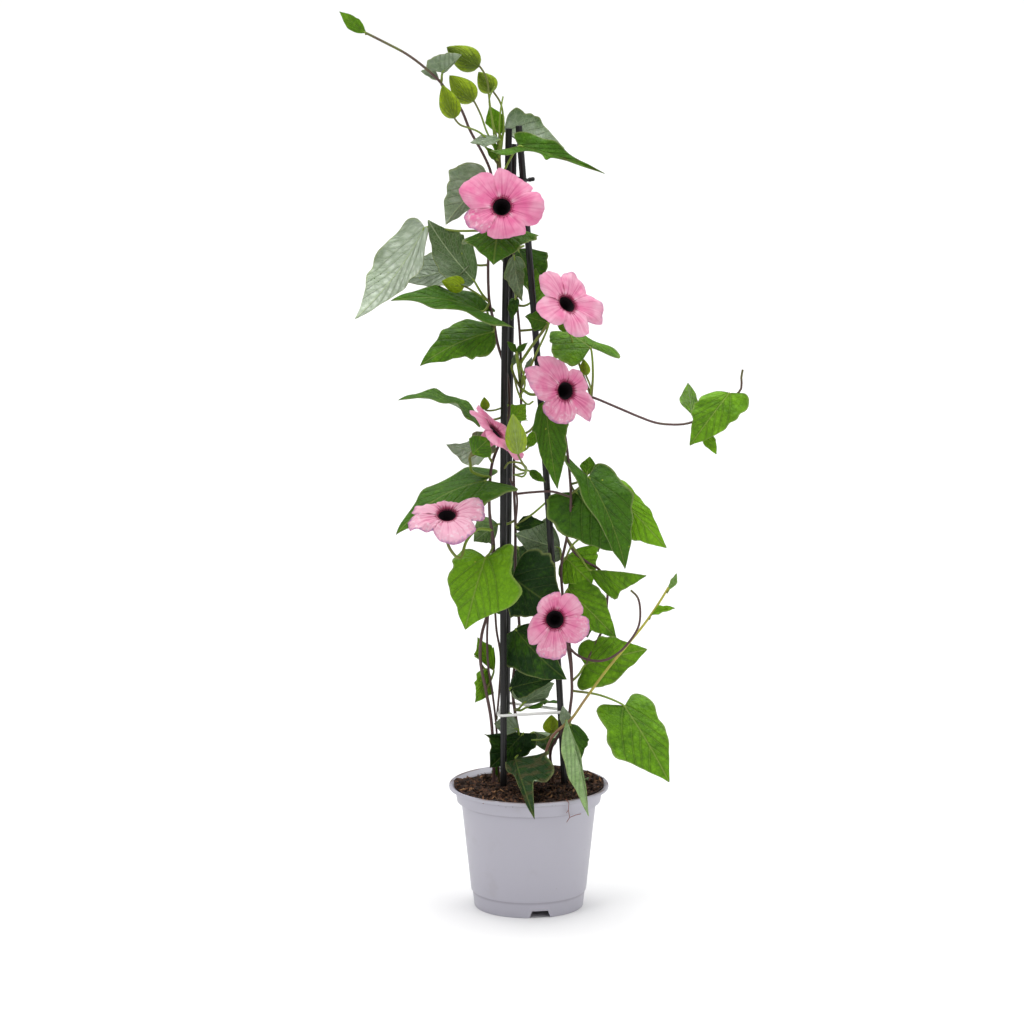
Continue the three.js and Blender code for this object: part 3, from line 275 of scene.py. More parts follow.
VINE_CENTRE = VinePlan(
    "vine_centre",
    radius=(1.25, 0.8),
    stem=(
        (-7, 20, 95), (-7, 18, 122), (-10, 16, 142), (-12, 15, 161), (-10, 16, 184), (-7, 17, 207),
        (-9, 16, 230), (-10, 16, 252), (-10, 14, 272), (-10, 13, 291), (-11, 12, 314), (-11, 13, 336),
        (-9, 13, 351), (-6, 12, 371), (-6, 10, 391), (-6, 10, 412), (-7, 10.5, 434), (-9, 9.5, 457),
        (-10, 9, 476), (-12, 9.5, 494), (-17, 11, 505), (-21, 10.5, 520), (-22.5, 9, 539), (-23, 8, 558),
        (-24.5, 4, 571),
    ),
    leaves=(
        heart((-18, 19, 581), (26, 22, 568), (-4, 28, 596), (-1, 17, 570), 5, (-23, 7, 558), lit=0.3,
            pale=0.65, slope=0.8),
        lance((-21, 5, 580), (-29, 3, 602), (-18, 5, 593), (-32, 2, 592), -1, (-23, 6, 562), lit=0.85),
        lance((-21, -3, 578), (-43, -13, 577), (-31, -12, 576), (-31, -4, 583), 1, (-24, 4, 568), lit=0.3,
            pale=0.3),
        Leaf(BladeForm.TAILED, (-7, -14, 575), (55, -30, 557), (3, -24, 566), (8, -12, 580), 3,
            (-23, 8, 541), (-20, -6, 552), lit=0.42, wear=0.1),
        heart((-21, -8, 518), (-26, -42, 492), (-49, -22, 503), (6, -20, 508), 5, (-13, 9, 497),
            (-11, 1, 511), lit=0.36),
        heart((-11, -5, 492), (-5, -8, 459), (-3, -4, 483), (-18, -11, 481), 3, (-12, 9, 491), lit=0.25,
            pale=0, wear=0.25),
        heart((1, 10, 455), (5, 15, 480), (15, 16, 458), (-1, 12, 469), -3, (-9, 10, 453), lit=0.55),
        heart((-13, -4, 369), (-2, -8, 383), (-1, -8, 371), (-13, -4, 382), 2, (-9, 13, 361), lit=0.75),
        lance((-1, 6, 347), (6, 3, 363), (7, 5, 353), (-1, 4, 356), -1, (-10, 14, 345), lit=0.75),
        heart((12, -9, 384), (21, -14, 320), (4, -6, 364), (29, -10, 367), 5, (-9, 14, 354), (2, 2, 362),
            lit=0.42),
        lance((0, 5, 330), (12, -3, 323), (4, 0, 324), (7, 2, 330), 1, (-11, 13, 333), lit=0.5),
        heart((-23, 13, 288), (-41, 12, 275), (-28, 12, 271), (-38, 14, 294), 3, (-10, 13, 291), lit=0.7,
            pale=0.25),
        heart((-12, -4, 251), (24, -10, 227), (-13, -12, 224), (9, -8, 274), 4, (-10, 16, 246), lit=0),
        heart((-10, 9, 209), (28, -10, 175), (-20, 9, 185), (14, -4, 211), 5, (-7, 17, 210), lit=0.12),
        heart((-14, 12, 163), (19, 5, 172), (-4, 5, 157), (-5, 14, 181), 4, (-12, 15, 161), lit=0),
        heart((-4, 6, 153), (19, 4, 169), (-10, 12, 165), (13, 5, 156), 3, (-10, 16, 144), lit=0.5,
            pale=0.3),
        heart((-2, 9, 149), (26, 5, 153), (12, 4, 152), (12, 18, 151), 2, (-10, 16, 144), lit=0.4,
            pale=0.35),
        heart((-8, 11, 132), (-26, 8, 137), (-18, 7, 128), (-14, 14, 144), 3, (-7, 18, 120), lit=0.4,
            pale=0.3),
        heart((-4, 14, 128), (-29, 4, 104), (-33, 2, 128), (6, 15, 118), 1, (-7, 18, 126), lit=0.05),
        Leaf(BladeForm.RAGGED, (-10, 2, 112), (4, -70, 84), (-9, -32, 90), (24, -32, 101), 13,
            (-7, 18, 114), lit=0, wear=0.5),
        heart((-8, 34, 266), (-4, 52, 222), (-28, 40, 258), (14, 40, 262), -5, (-10, 13, 272), lit=0.1),
        heart((15, 18, 438), (-3, 20, 443), (5, 24, 449), (4, 12, 434), 3, (-7, 10, 434), lit=0.5),
        heart((-8, 28, 492), (4, 42, 455), (-22, 34, 484), (14, 30, 486), -4, (-12, 9, 494),
            (-4, 18, 496), lit=0.3),
        heart((4, 34, 124), (16, 62, 101), (-12, 46, 113), (28, 44, 117), -5, (-7, 18, 126), lit=0.2),
        lance((-9, -2, 420), (-16, -5, 429), (-11, -3, 427), (-14, -3, 423), 1, (-6, 10, 391), lit=0.45),
        lance((-9, -2, 420), (-1, -5, 428), (-4, -3, 422), (-7, -3, 426), 1, (-6, 10, 391), lit=0.4),
        heart((-10, 4, 459), (-13, 3, 443), (-15, 4, 456), (-7, 3, 455), 2, (-9, 9.5, 470), lit=0.1),
        heart((-9, 10, 286), (12, 10, 290), (-4, 9, 284), (-2, 12, 295), 2, (-10, 13, 291), lit=0.1),
        heart((-15, 6, 229), (-29, 4, 223), (-21, 6, 235), (-21, 5, 221), 1, (-9, 16, 235), lit=0.55),
        heart((-22, 14, 101), (-28, 14, 98), (-24, 14, 104), (-24, 13, 95), 1, (-7, 18, 100), lit=0.6),
        lance((-23, 2, 562), (-31, 0, 572), (-26, 1, 570), (-29, 1, 565), 1, (-24, 4, 566), lit=0.6),
        lance((-22, 3, 564), (-28, 2, 578), (-23, 3, 572), (-26, 2, 570), 1, (-24, 4, 566), lit=0.7),
        lance((-4, 4, 403), (2, 2, 416), (-2, 3, 411), (2, 3, 408), 1, (-6, 10, 391), lit=0.35),
        lance((-13, 6, 408), (-7, 4, 421), (-12, 5, 415), (-8, 5, 413), 1, (-6, 10, 391), lit=0.5),
        heart((14, -12, 444), (-2, -14, 449), (7, -12, 455), (3, -13, 438), 1, (-6, 10, 391), lit=0.45),
    ),
    buds=(
        Bud((-60, -12, 647), 9,
            ((-36, -6, 632), (-31, -4, 623), (-29, -2, 607), (-26, 0, 584), (-24, 4, 569)), lit=0.7),
        Bud((-58, -17, 627), 8.5, ((-40, -11, 607), (-35, -6, 596), (-31, -3, 584), (-25, 3, 571)),
            lit=0.9),
        Bud((-63, -25, 621), 7.2,
            ((-54, -22, 596), (-50, -19, 591), (-43, -15, 588), (-36, -9, 584), (-25, 3, 571)), lit=0.85),
        Bud((-37, 2, 627), 7, ((-26, 4, 612), (-21, 5, 604), (-19, 5, 595), (-19, 5, 582), (-23, 5, 568)),
            lit=0.8),
        Bud((-12, -63, 386), 7.5,
            ((-8, -60, 355), (-5, -54, 348), (-2, -34, 340), (-4, -4, 330), (-11, 12, 325)), lit=0.95,
            matt=0.5),
        Bud((17, 7, 144), 6.2, ((17, 9, 129), (12, 12, 124), (-7, 18, 122)), lit=1.1),
    ),
    hooks=(
        Runner((0.8, 0.7), ((-18, 0, 333), (-14, -8, 339), (-5, -9, 338), (-2, -8, 332), (-4, -6, 328),
            (-10, 4, 327)), green=True),
        Runner((0.95, 0.85), ((-10, 12, 311), (3, 4, 314), (18, -4, 316), (30, -8, 313))),
        Runner((0.85, 0.75), ((-10, 12, 287), (3, 8, 297), (12, 3, 306)), green=True),
        Runner((0.85, 0.75), ((-14, 11, 323), (-9, 7, 311), (-10, 12, 286))),
        Runner((0.8, 0.6), ((-22, 5, 556), (-23, 2, 575), (-27, 0, 593), (-29, -2, 608),
            (-25, -3, 617)), green=True),
        Runner((0.8, 0.6), ((-21, 5, 556), (-22, 3, 577), (-21, 2, 598), (-19, 2, 609)), green=True),
        Runner((0.8, 0.7), ((-12, 8, 405), (-7, -2, 388), (-1, -6, 382), (3, -10, 385)), green=True),
        Runner((0.8, 0.7), ((-12, 8, 424), (-6, 0, 410), (-3, -4, 396), (-7, 0, 386)), green=True),
    ),
)
VINE_RIGHT = VinePlan(
    "vine_right",
    radius=(1.2, 0.85),
    stem=(
        (18, 14, 95), (16, 8, 112), (18, 0, 123), (24, -6.5, 134), (29, -8, 143), (31, -8, 155),
        (32, -8, 166), (31, -6, 185), (28, -4, 204), (25, -1, 237), (24, 0, 259), (28, 1, 280),
        (30, -5, 295), (31, -9, 309), (30, -9, 330), (27, -7, 356), (24, -2, 370), (23, 3, 380),
        (28, 5, 386), (38, 4, 387), (46, 2, 386), (64, 0, 379), (81, -2, 372), (93, -4, 368),
        (103, -6, 367), (117, -7, 368), (135, -6, 376), (150, -6, 387), (156, -6, 394), (156, -6, 402),
        (157, -6, 408),
    ),
    leaves=(
        heart((45, -2, 424), (16, 24, 431), (65, 2, 421), (24, -16, 416), 4, (46, 2, 386), (47, -3, 406),
            lit=0.55),
        heart((44, -8, 328), (71, -24, 262), (27, -11, 334), (66, 4, 325), 7, (31, -9, 315), lit=0.32),
        lance((43, -1, 328), (45, 4, 341), (50, 2, 334), (38, 2, 335), -1, (31, -9, 321), lit=0.6),
        heart((62, 8, 315), (102, -2, 273), (77, 0, 270), (76, 12, 316), 5, (31, -8, 305), (47, 4, 310),
            lit=1),
        heart((35, -5, 316), (69, -12, 272), (13, -5, 298), (50, -3, 311), 4, (31, -9, 324), lit=0.3),
        heart((23, 12, 270), (-10, 7, 282), (14, 9, 259), (12, 20, 291), 4, (25, 1, 263), lit=0.2,
            pale=0.15),
        heart((27, 7, 264), (47, 10, 243), (24, 6, 246), (51, 14, 271), 3, (25, 1, 261), lit=0.85,
            pale=0.4),
        heart((45, 5, 255), (87, -10, 254), (65, -8, 234), (57, 6, 253), 3, (28, 1, 280), (38, 5, 265),
            lit=0.65),
        heart((29, 4, 241), (65, 2, 204), (36, 2, 211), (45, 8, 248), 4, (25, 0, 237), lit=0.69),
        heart((42, 0, 184), (88, -5, 197), (45, -5, 165), (44, 6, 202), 5, (31, -6, 172), lit=0.7),
        heart((71, -15, 156), (104, -36, 103), (53, -20, 144), (92, -10, 157), 6, (32, -7, 166),
            (53, -10, 163), lit=0.66, full=(0.35, 0)),
        heart((147, -9, 391), (118, -16, 353), (123, -10, 386), (159, -14, 380), 4, (154, -6, 390),
            lit=0.72),
        lance((120, -4, 374), (117, 1, 397), (111, 0, 386), (124, -1, 386), 1, (126, -6, 372), lit=1,
            pale=0.2),
        lance((128, -7, 363), (138, -9, 345), (127, -8, 356), (138, -8, 355), 1, (132, -6, 375), lit=1),
        heart((34, 18, 232), (44, 36, 196), (20, 28, 222), (56, 22, 226), -5, (25, -1, 237), lit=0.2),
        heart((36, 18, 296), (52, 34, 262), (28, 28, 276), (58, 20, 290), -5, (28, 1, 280), lit=0.2),
        lance((29, 2, 435), (20, 3, 442), (26, 3, 440), (23, 3, 436), 1, (46, 2, 386), lit=0.7),
    ),
    buds=(
        Bud((40, -6, 416), 3.6, ((42, -4, 403), (45, -1, 395), (46, 2, 386)), lit=0.9),
    ),
    hooks=(
        Runner((1, 0.8), ((28, -4, 200), (36, -12, 194), (46, -20, 192), (56, -24, 193), (66, -26, 199),
            (75, -27, 209), (81, -27, 220), (82, -26, 232), (80, -25, 241), (75, -24, 246))),
        Runner((1, 0.9), ((28, 1, 280), (34, 5, 268), (44, 7, 260), (52, 7, 255), (58, 6, 245),
            (58, 4, 230), (56, 3, 214), (50, 2, 200), (44, 0, 188), (43, 0, 184))),
        Runner((0.9, 0.8), ((30, -2, 203), (32, -5, 183), (32, -6, 162))),
        Runner((0.85, 0.75), ((27, 0, 264), (32, -6, 276), (40, -10, 284), (47, -10, 290)), green=True),
    ),
)
VINE_SHOOT = VinePlan(
    "vine_shoot",
    radius=(1.2, 0.9),
    stem=(
        (11, 4, 95), (13, 1, 117), (17, -4, 129), (23, -12, 138), (31, -17, 146), (41, -19, 161),
        (57, -20, 184), (74, -19, 205), (86, -18, 220), (96, -18, 235), (103, -19, 247),
    ),
    leaves=(
        lance((103, -19, 245), (109, -20, 258), (104, -21, 253), (109, -18, 251), 0, (102, -19, 244),
            lit=0.9),
        lance((90, -18, 226), (108, -26, 233), (98, -25, 228), (99, -20, 233), 1, (88, -18, 223),
            lit=0.95),
        heart((31, -14, 142), (37, -9, 110), (25, -11, 128), (44, -7, 130), 3, (28, -15, 143), lit=0.3),
        lance((28, -19, 146), (44, -60, 83), (38, -38, 116), (25, -40, 116), -7, (26, -14, 141), lit=0.72,
            pale=0.5),
        lance((28, -16, 139), (25, -14, 156), (23, -15, 146), (31, -15, 148), 2, (31, -17, 146), lit=0,
            pale=0.35),
    ),
)
VINES = (VINE_LEFT, VINE_CENTRE, VINE_RIGHT, VINE_SHOOT)

BLOOMS = (
    BloomPlan(
        "vine_centre",
        eye=(-20, -38, 534),
        face=(-0.05, -0.88, 0.45),
        petals=(
            ((-30, 27), (-12, 30.5), (6, 31), (23, 28.5)),
            ((34, 27), (50, 25.5), (72, 25.8), (95, 29.5)),
            ((113, 29), (126, 31), (143, 32.5), (159, 33.5), (172, 28)),
            ((194, 28), (208, 28.5), (222, 26), (235, 24)),
            ((247, 24), (268, 24), (290, 24.5), (310, 27)),
        ),
        stalk=((-22, -4, 519), (-22, 9, 521)),
        wilt=(0.15, 0.1, 0.1, 0.75, 0.15),
        pale=0.12,
    ),
    BloomPlan(
        "vine_centre",
        eye=(28, -28, 461),
        face=(0.5, -0.61, 0.61),
        petals=(
            ((-44, 27), (-36, 31.5), (-12, 31), (6, 26)),
            ((24, 26), (38, 29), (52, 29.4), (70, 26)),
            ((82, 26.5), (99, 29), (120, 28.5), (139, 24)),
            ((164, 23), (182, 28.8), (206, 28.5), (222, 24)),
            ((243, 22.5), (267, 27.5), (280, 27.5), (294, 23.5)),
        ),
        stalk=((11, -11, 439), (-1, 0, 420), (-7, 5, 408), (-6, 10, 396)),
        wilt=(0.4, 0.35, 0.15, 0.15, 0.25),
        pale=0.3,
    ),
    BloomPlan(
        "vine_centre",
        eye=(27, -32, 397),
        face=(0.5, -0.85, 0.15),
        petals=(
            ((-56, 25), (-51, 31.5), (-40, 29), (-30, 27), (-16, 22.5)),
            ((2, 19.5), (20, 18.8), (44, 18.4), (66, 17)),
            ((84, 19), (104, 25), (119, 31), (129, 34.5)),
            ((141, 33), (149, 36), (163, 31), (180, 26.5), (190, 23)),
            ((207, 21.5), (225, 23), (245, 24.2), (267, 24.2), (285, 22.5)),
        ),
        stalk=((9, -8, 391), (1, 2, 388), (-6, 10, 390)),
        wilt=(0.5, 0.1, 0.1, 0.5, 0.8),
        pale=0.25,
    ),
    BloomPlan(
        "vine_left",
        eye=(-24, -38, 368),
        face=(0.7, -0.13, 0.7),
        petals=(
            ((-45, 22.5), (-28, 25), (-8, 25), (9, 22.5)),
            ((27, 22.5), (44, 25), (64, 25), (81, 22.5)),
            ((99, 23.5), (116, 26), (136, 26), (153, 23.5)),
            ((171, 22.5), (188, 25), (208, 25), (225, 22.5)),
            ((243, 24.5), (260, 27), (280, 27), (297, 24.5)),
        ),
        stalk=((-43, -22, 341), (-42, -12, 333), (-35, -4, 328), (-29, 3, 326)),
        wilt=(0.1, 0.1, 0.1, 0.1, 0.1),
        pale=0.2,
        turn=90,
        broad=1.5,
    ),
    BloomPlan(
        "vine_left",
        eye=(-60, -48, 308),
        face=(0, -0.5, 0.86),
        petals=(
            ((-4, 26), (6, 28), (26, 29), (43, 31.5)),
            ((58, 17), (80, 15.5), (100, 14.5), (118, 15.5)),
            ((130, 18.5), (144, 21.5), (160, 24.5), (172, 26)),
            ((183, 27), (192, 29), (206, 30), (219, 25)),
            ((250, 22), (264, 26), (280, 29), (300, 29), (321, 27), (335, 22)),
        ),
        stalk=(
            (-58, -33, 279), (-53, -29, 272), (-50, -24, 271), (-46, -14, 281), (-38, -6, 288),
            (-29, 3, 285),
        ),
        wilt=(0.9, 0.3, 0.6, 0.95, 0.8),
        pale=0.55,
    ),
    BloomPlan(
        "vine_right",
        eye=(19, -42, 228),
        face=(0, -0.98, 0.18),
        petals=(
            ((-55, 21.5), (-40, 25), (-22, 26.5), (-6, 25.7), (3, 23.5)),
            ((14, 21.5), (33, 22.5), (54, 22.8), (68, 20.5)),
            ((80, 20.5), (100, 19), (120, 18), (141, 16.5)),
            ((177, 16.5), (195, 20), (212, 23.5), (223, 26), (231, 24)),
            ((241, 28), (255, 29.5), (270, 29.5), (285, 28)),
        ),
        stalk=((21, -14, 214), (28, -4, 204)),
        wilt=(0.7, 0.2, 0.6, 0.4, 0.7),
        pale=0.25,
    ),
)

# Fine roots that hang over the front of the lip.
ROOT_HAIRS = (
    ((27.3, -53.0, 94.7), (29.5, -54.0, 91.9), (29.1, -50.0, 85.6), (27.8, -48.0, 83.0)),
    ((29.1, -50.0, 85.6), (30.1, -47.0, 79.1), (27.9, -46.5, 75.3)),
    ((30.1, -47.0, 79.1), (34.5, -45.0, 80.4), (38.5, -42.5, 80.7)),
)


# ---- shared helpers ----


def linear(hex_colour: str) -> tuple[float, ...]:
    """Turns an sRGB hex colour into linear RGBA.

    Args:
        hex_colour: The colour as "#rrggbb".

    Returns:
        The linear colour with full alpha.
    """
    channels = [int(hex_colour[i : i + 2], 16) / 255 for i in (1, 3, 5)]
    return (*(c / 12.92 if c <= 0.04045 else ((c + 0.055) / 1.055) ** 2.4 for c in channels), 1.0)


def add_node(
    tree: Tree,
    kind: str,
    settings: dict[str, Any] | None = None,
    feeds: dict[int | str, Any] | None = None,
) -> bpy.types.Node:
    """Adds a node with its settings and links.

    Args:
        tree: The tree to add to.
        kind: The node's type name.
        settings: Properties of the node.
        feeds: For each input, a value or the output socket that feeds it.

    Returns:
        The new node.
    """
    node = tree.nodes.new(kind)
    for name, value in (settings or {}).items():
        setattr(node, name, value)
    for key, value in (feeds or {}).items():
        if isinstance(value, Socket):
            tree.links.new(value, node.inputs[key])
        else:
            node.inputs[key].default_value = value
    return node


def between(start: Any, end: Any, leave: Any, arrive: Any, t: float) -> Any:
    """Finds a number or place on the cubic between two.

    Args:
        start: Where it starts.
        end: Where it ends.
        leave: Its slope at the start.
        arrive: Its slope at the end.
        t: The share of the way.

    Returns:
        The number or place there.
    """
    turn = t * t * (3 - 2 * t)
    return start * (1 - turn) + end * turn + (leave * (1 - t) - arrive * t) * t * (1 - t)


def smooth(places: Sequence[Point], spacing: float) -> list[Vector]:
    """Runs a centripetal spline through places.

    Args:
        places: What the line passes, in millimetres.
        spacing: The longest distance between two samples.

    Returns:
        Samples along the line, both ends included.
    """
    points = [Vector(p) for p in places]
    kept = [points[0]]
    kept += [p for before, p in zip(points, points[1:]) if (p - before).length > 0.5]
    ends = [2 * kept[0] - kept[1], *kept, 2 * kept[-1] - kept[-2]]
    samples = [kept[0]]
    for a, b, c, d in zip(ends, ends[1:], ends[2:], ends[3:]):
        gaps = [math.sqrt(max((q - p).length, 0.01)) for p, q in ((a, b), (b, c), (c, d))]
        leave = (b - a) / gaps[0] - (c - a) / (gaps[0] + gaps[1]) + (c - b) / gaps[1]
        arrive = (c - b) / gaps[1] - (d - b) / (gaps[1] + gaps[2]) + (d - c) / gaps[2]
        slopes = (leave * gaps[1], arrive * gaps[1])
        count = max(1, math.ceil((c - b).length / spacing))
        samples += [between(b, c, *slopes, k / count) for k in range(1, count + 1)]
    return samples


def follow(knots: Sequence[Point], place: float) -> float:
    """The value at a place of the smooth curve through knots, which never overshoots them.

    Args:
        knots: Places and values, by rising place.
        place: The place, between the first knot and the last.

    Returns:
        The curve's value there.
    """
    slopes = [(b[1] - a[1]) / (b[0] - a[0]) for a, b in zip(knots, knots[1:])]
    tangents = [slopes[0]]
    for a, b in zip(slopes, slopes[1:]):
        tangents.append(0.0 if a * b <= 0 else 2 * a * b / (a + b))
    tangents.append(slopes[-1])
    i = max(k for k in range(len(slopes)) if k == 0 or knots[k][0] <= place)
    (start, low), (end, high) = knots[i], knots[i + 1]
    width = end - start
    leave, arrive = tangents[i] * width, tangents[i + 1] * width
    return between(low, high, leave, arrive, (place - start) / width)


def nearest(line: Sequence[Vector], place: Vector) -> Vector:
    """The sample of a line that lies closest to a place."""
    return min(line, key=lambda p: (p - place).length_squared).copy()


def taper(first: float, last: float, line: Sequence[Vector]) -> list[float]:
    """A radius for each point of a line, from its first to its last."""
    return [first + (last - first) * i / (len(line) - 1) for i in range(len(line))]


def ring(sides: int) -> list[float]:
    """The angles of points evenly round a circle."""
    return [math.tau * j / sides for j in range(sides)]


def polar(radius: float, angle: float, height: float = 0.0) -> Vector:
    """A place at a distance and direction from the upright axis."""
    return Vector((radius * math.cos(angle), radius * math.sin(angle), height))


def turned(
    rings: int, sides: int, start: int = 1, end: int | None = None, flip: bool = False
) -> list[Face]:
    """Faces of a turned body, whose first point is the tip of its first fan.

    Args:
        rings: How many rings of points it has.
        sides: How many points each ring has.
        start: The first ring's first point.
        end: The tip of the fan that closes the last ring, if any.
        flip: Whether the faces look to the other side.

    Returns:
        The faces.
    """
    faces: list[Face] = []
    last = start + (rings - 1) * sides
    for j in range(sides):
        k = (j + 1) % sides
        faces.append((0, start + k, start + j))
        for low in range(start, last, sides):
            faces.append((low + j, low + k, low + sides + k, low + sides + j))
        if end is not None:
            faces.append((end, last + j, last + k))
    return [(face[0], *face[:0:-1]) for face in faces] if flip else faces


def add_object(name: str, data: bpy.types.ID) -> bpy.types.Object:
    """Puts data into the scene as an object."""
    item = bpy.data.objects.new(name, data)
    bpy.context.scene.collection.objects.link(item)
    return item


def place_piece(
    name: str,
    mesh: Mesh,
    material: Material,
    slot: str,
    stands_for: Iterable[str] = (),
    crisp: float | None = None,
) -> None:
    """Puts a finished mesh into the scene on the part's one body.

    Args:
        name: The piece's name.
        mesh: Its mesh, in metres and in place.
        material: Its finish.
        slot: The record's material slot, which is not used.
        stands_for: The frame's nodes that it replaces.
        crisp: The angle in degrees above which an edge stays sharp, or None for flat faces.
    """
    piece = add_object(name, mesh)
    mesh.materials.clear()
    mesh.materials.append(material)
    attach(piece, BODY)
    for node in stands_for:
        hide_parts(node)
    if crisp is not None:
        mesh.shade_smooth()
        mesh.set_sharp_from_angle(angle=math.radians(crisp))
    log.info("%s: %d faces", name, len(mesh.polygons))


@dataclass
class Draft:
    """Points, faces and painted values that are gathered before they become a mesh."""

    points: list[Vector] = field(default_factory=list)
    faces: list[Face] = field(default_factory=list)
    paint: dict[str, list[Point]] = field(default_factory=dict)

    def add(self, points: Sequence[Vector], faces: Iterable[Face], **paint: Sequence[Point]) -> None:
        """Adds a closed shape.

        Args:
            points: Its vertices in millimetres.
            faces: Its faces, counted from its own first vertex.
            paint: For each attribute, one vector for each vertex.
        """
        start = len(self.points)
        self.points.extend(points)
        self.faces.extend(tuple(start + i for i in face) for face in faces)
        for name, values in paint.items():
            self.paint.setdefault(name, []).extend(values)

    def mesh(self, name: str) -> Mesh:
        """Makes the mesh, with its attributes.

        Args:
            name: The mesh's name.

        Returns:
            The mesh, in metres.
        """
        mesh = bpy.data.meshes.new(name)
        mesh.from_pydata([p * MM for p in self.points], [], self.faces)
        for key, values in self.paint.items():
            layer = mesh.attributes.new(key, "FLOAT_VECTOR", "POINT")
            layer.data.foreach_set("vector", [c for value in values for c in value])
        mesh.update()
        return mesh


def thicken(
    patch: Sequence[Vector], faces: Sequence[Face], rim: Sequence[int], front: float, back: float
) -> tuple[list[Vector], list[Face]]:
    """Gives a surface patch its thickness and closes its edge.

    Args:
        patch: The patch's points.
        faces: Its faces, which look out of its front.
        rim: Its edge, with the patch on the left of it.
        front: How far the front stands above the patch.
        back: How far the back lies under it.

    Returns:
        The points, front first and then back, and the faces of the closed sheet.
    """
    normals = [Vector() for _ in patch]
    for face in faces:
        a, b, c = (patch[i] for i in face[:3])
        facing = (b - a).cross(c - a)
        if len(face) == 4:
            facing = (c - a).cross(patch[face[3]] - b)
        for i in face:
            normals[i] += facing
    for normal in normals:
        normal.normalize()
    count = len(patch)
    points = [p + n * front for p, n in zip(patch, normals)]
    points += [p - n * back for p, n in zip(patch, normals)]
    closed = [tuple(face) for face in faces]
    closed += [tuple(count + i for i in reversed(face)) for face in faces]
    closed += [(p, p + count, q + count, q) for p, q in zip(rim, [*rim[1:], rim[0]])]
    return points, closed


class Dice:
    """A small seeded random source, alike on every machine."""

    def __init__(self, seed: int) -> None:
        """Starts the draw at a seed."""
        self.state = seed

    def next(self) -> float:
        """The next draw, from 0 to 1."""
        self.state = (self.state * 16807) % 2147483647
        return self.state / 2147483647


# ---- finishes ----

# Steps of a pattern other than arithmetic: the node, its settings, its inputs, its output.
STEPS: dict[str, tuple[str, dict[str, str], Sequence[int | str], int | str]] = {
    "RAMP": ("ShaderNodeMapRange", {"interpolation_type": "SMOOTHSTEP"}, (0, 1, 2, 3, 4), 0),
    "BLEND": ("ShaderNodeMix", {"data_type": "RGBA"}, (0, 6, 7), 2),
    "NOISE": ("ShaderNodeTexNoise", {}, ("Vector", "Scale", "Detail"), 0),
    "EDGES": ("ShaderNodeTexVoronoi", {"feature": "DISTANCE_TO_EDGE"}, ("Vector", "Scale"), "Distance"),
    "STRETCH": ("ShaderNodeMapping", {}, ("Vector", "Scale"), 0),
    "RELIEF": ("ShaderNodeBump", {}, ("Strength", "Distance", "Height"), 0),
    "PLACE": ("ShaderNodeTexCoord", {}, (), "Object"),
    "FIRST": ("ShaderNodeSeparateXYZ", {}, (0,), 0),
    "THIRD": ("ShaderNodeSeparateXYZ", {}, (0,), 2),
}


def step(tree: Tree, name: str, *feeds: Any) -> Socket:
    """Adds one step of a pattern.

    Args:
        tree: The tree to add to.
        name: A name from STEPS, or an operation of arithmetic.
        feeds: Its inputs in order, each a value, a hex colour or a socket.

    Returns:
        The result.
    """
    sums = ("ShaderNodeMath", {"operation": name}, range(len(feeds)), 0)
    kind, settings, inputs, output = STEPS.get(name, sums)
    values = [linear(feed) if isinstance(feed, str) else feed for feed in feeds]
    return add_node(tree, kind, settings, dict(zip(inputs, values))).outputs[output]


def painted(tree: Tree, name: str) -> tuple[Socket, Any]:
    """The vector that a mesh carries under a name, and its three parts."""
    vector = add_node(tree, "ShaderNodeAttribute", {"attribute_name": name}).outputs["Vector"]
    return vector, add_node(tree, "ShaderNodeSeparateXYZ", None, {0: vector}).outputs


@dataclass(frozen=True)
class Finish:
    """A surface: what it is made of and how it takes the light."""

    name: str
    base: str
    roughness: float
    ior: float = 1.46
    sheen: float = 0.0

    def paint(self, tree: Tree) -> dict[str, Socket]:
        """Adds the pattern's nodes and returns what feeds each socket of the shader."""
        return {}

    def build(self) -> Material:
        """Makes the material.

        Returns:
            A material with one Principled shader.
        """
        material = bpy.data.materials.new(self.name)
        material.use_nodes = True
        shader = material.node_tree.nodes["Principled BSDF"]
        shader.inputs["Base Color"].default_value = linear(self.base)
        shader.inputs["Roughness"].default_value = self.roughness
        shader.inputs["IOR"].default_value = self.ior
        shader.inputs["Sheen Weight"].default_value = self.sheen
        for key, socket in self.paint(material.node_tree).items():
            material.node_tree.links.new(socket, shader.inputs[key])
        return material


# Side veins of a blade: start on the midrib, lean and curl towards the margin.
VEINS = (
    (0.0, -0.22, 0.05), (0.0, 0.32, 0.3), (0.15, 0.5, 0.28), (0.35, 0.5, 0.3), (0.56, 0.46, 0.35)
)
# How far a vein and the midrib hold the blade down beside them.
VEIN_REACH = 0.085
MIDRIB_REACH = 0.16


def pucker(across: float, along: float) -> float:
    """How far a blade bulges: 0 on a vein and 1 well clear of every vein.

    Args:
        across: Distance from the midrib as a share of the half width.
        along: Distance from the base as a share of the length.

    Returns:
        The share of the full bulge.
    """
    near = min(abs(along - start - (lean + curl * across) * across) for start, lean, curl in VEINS)
    held = 1 - math.exp(-((near / VEIN_REACH) ** 2))
    return held * (1 - math.exp(-((across / MIDRIB_REACH) ** 2)))


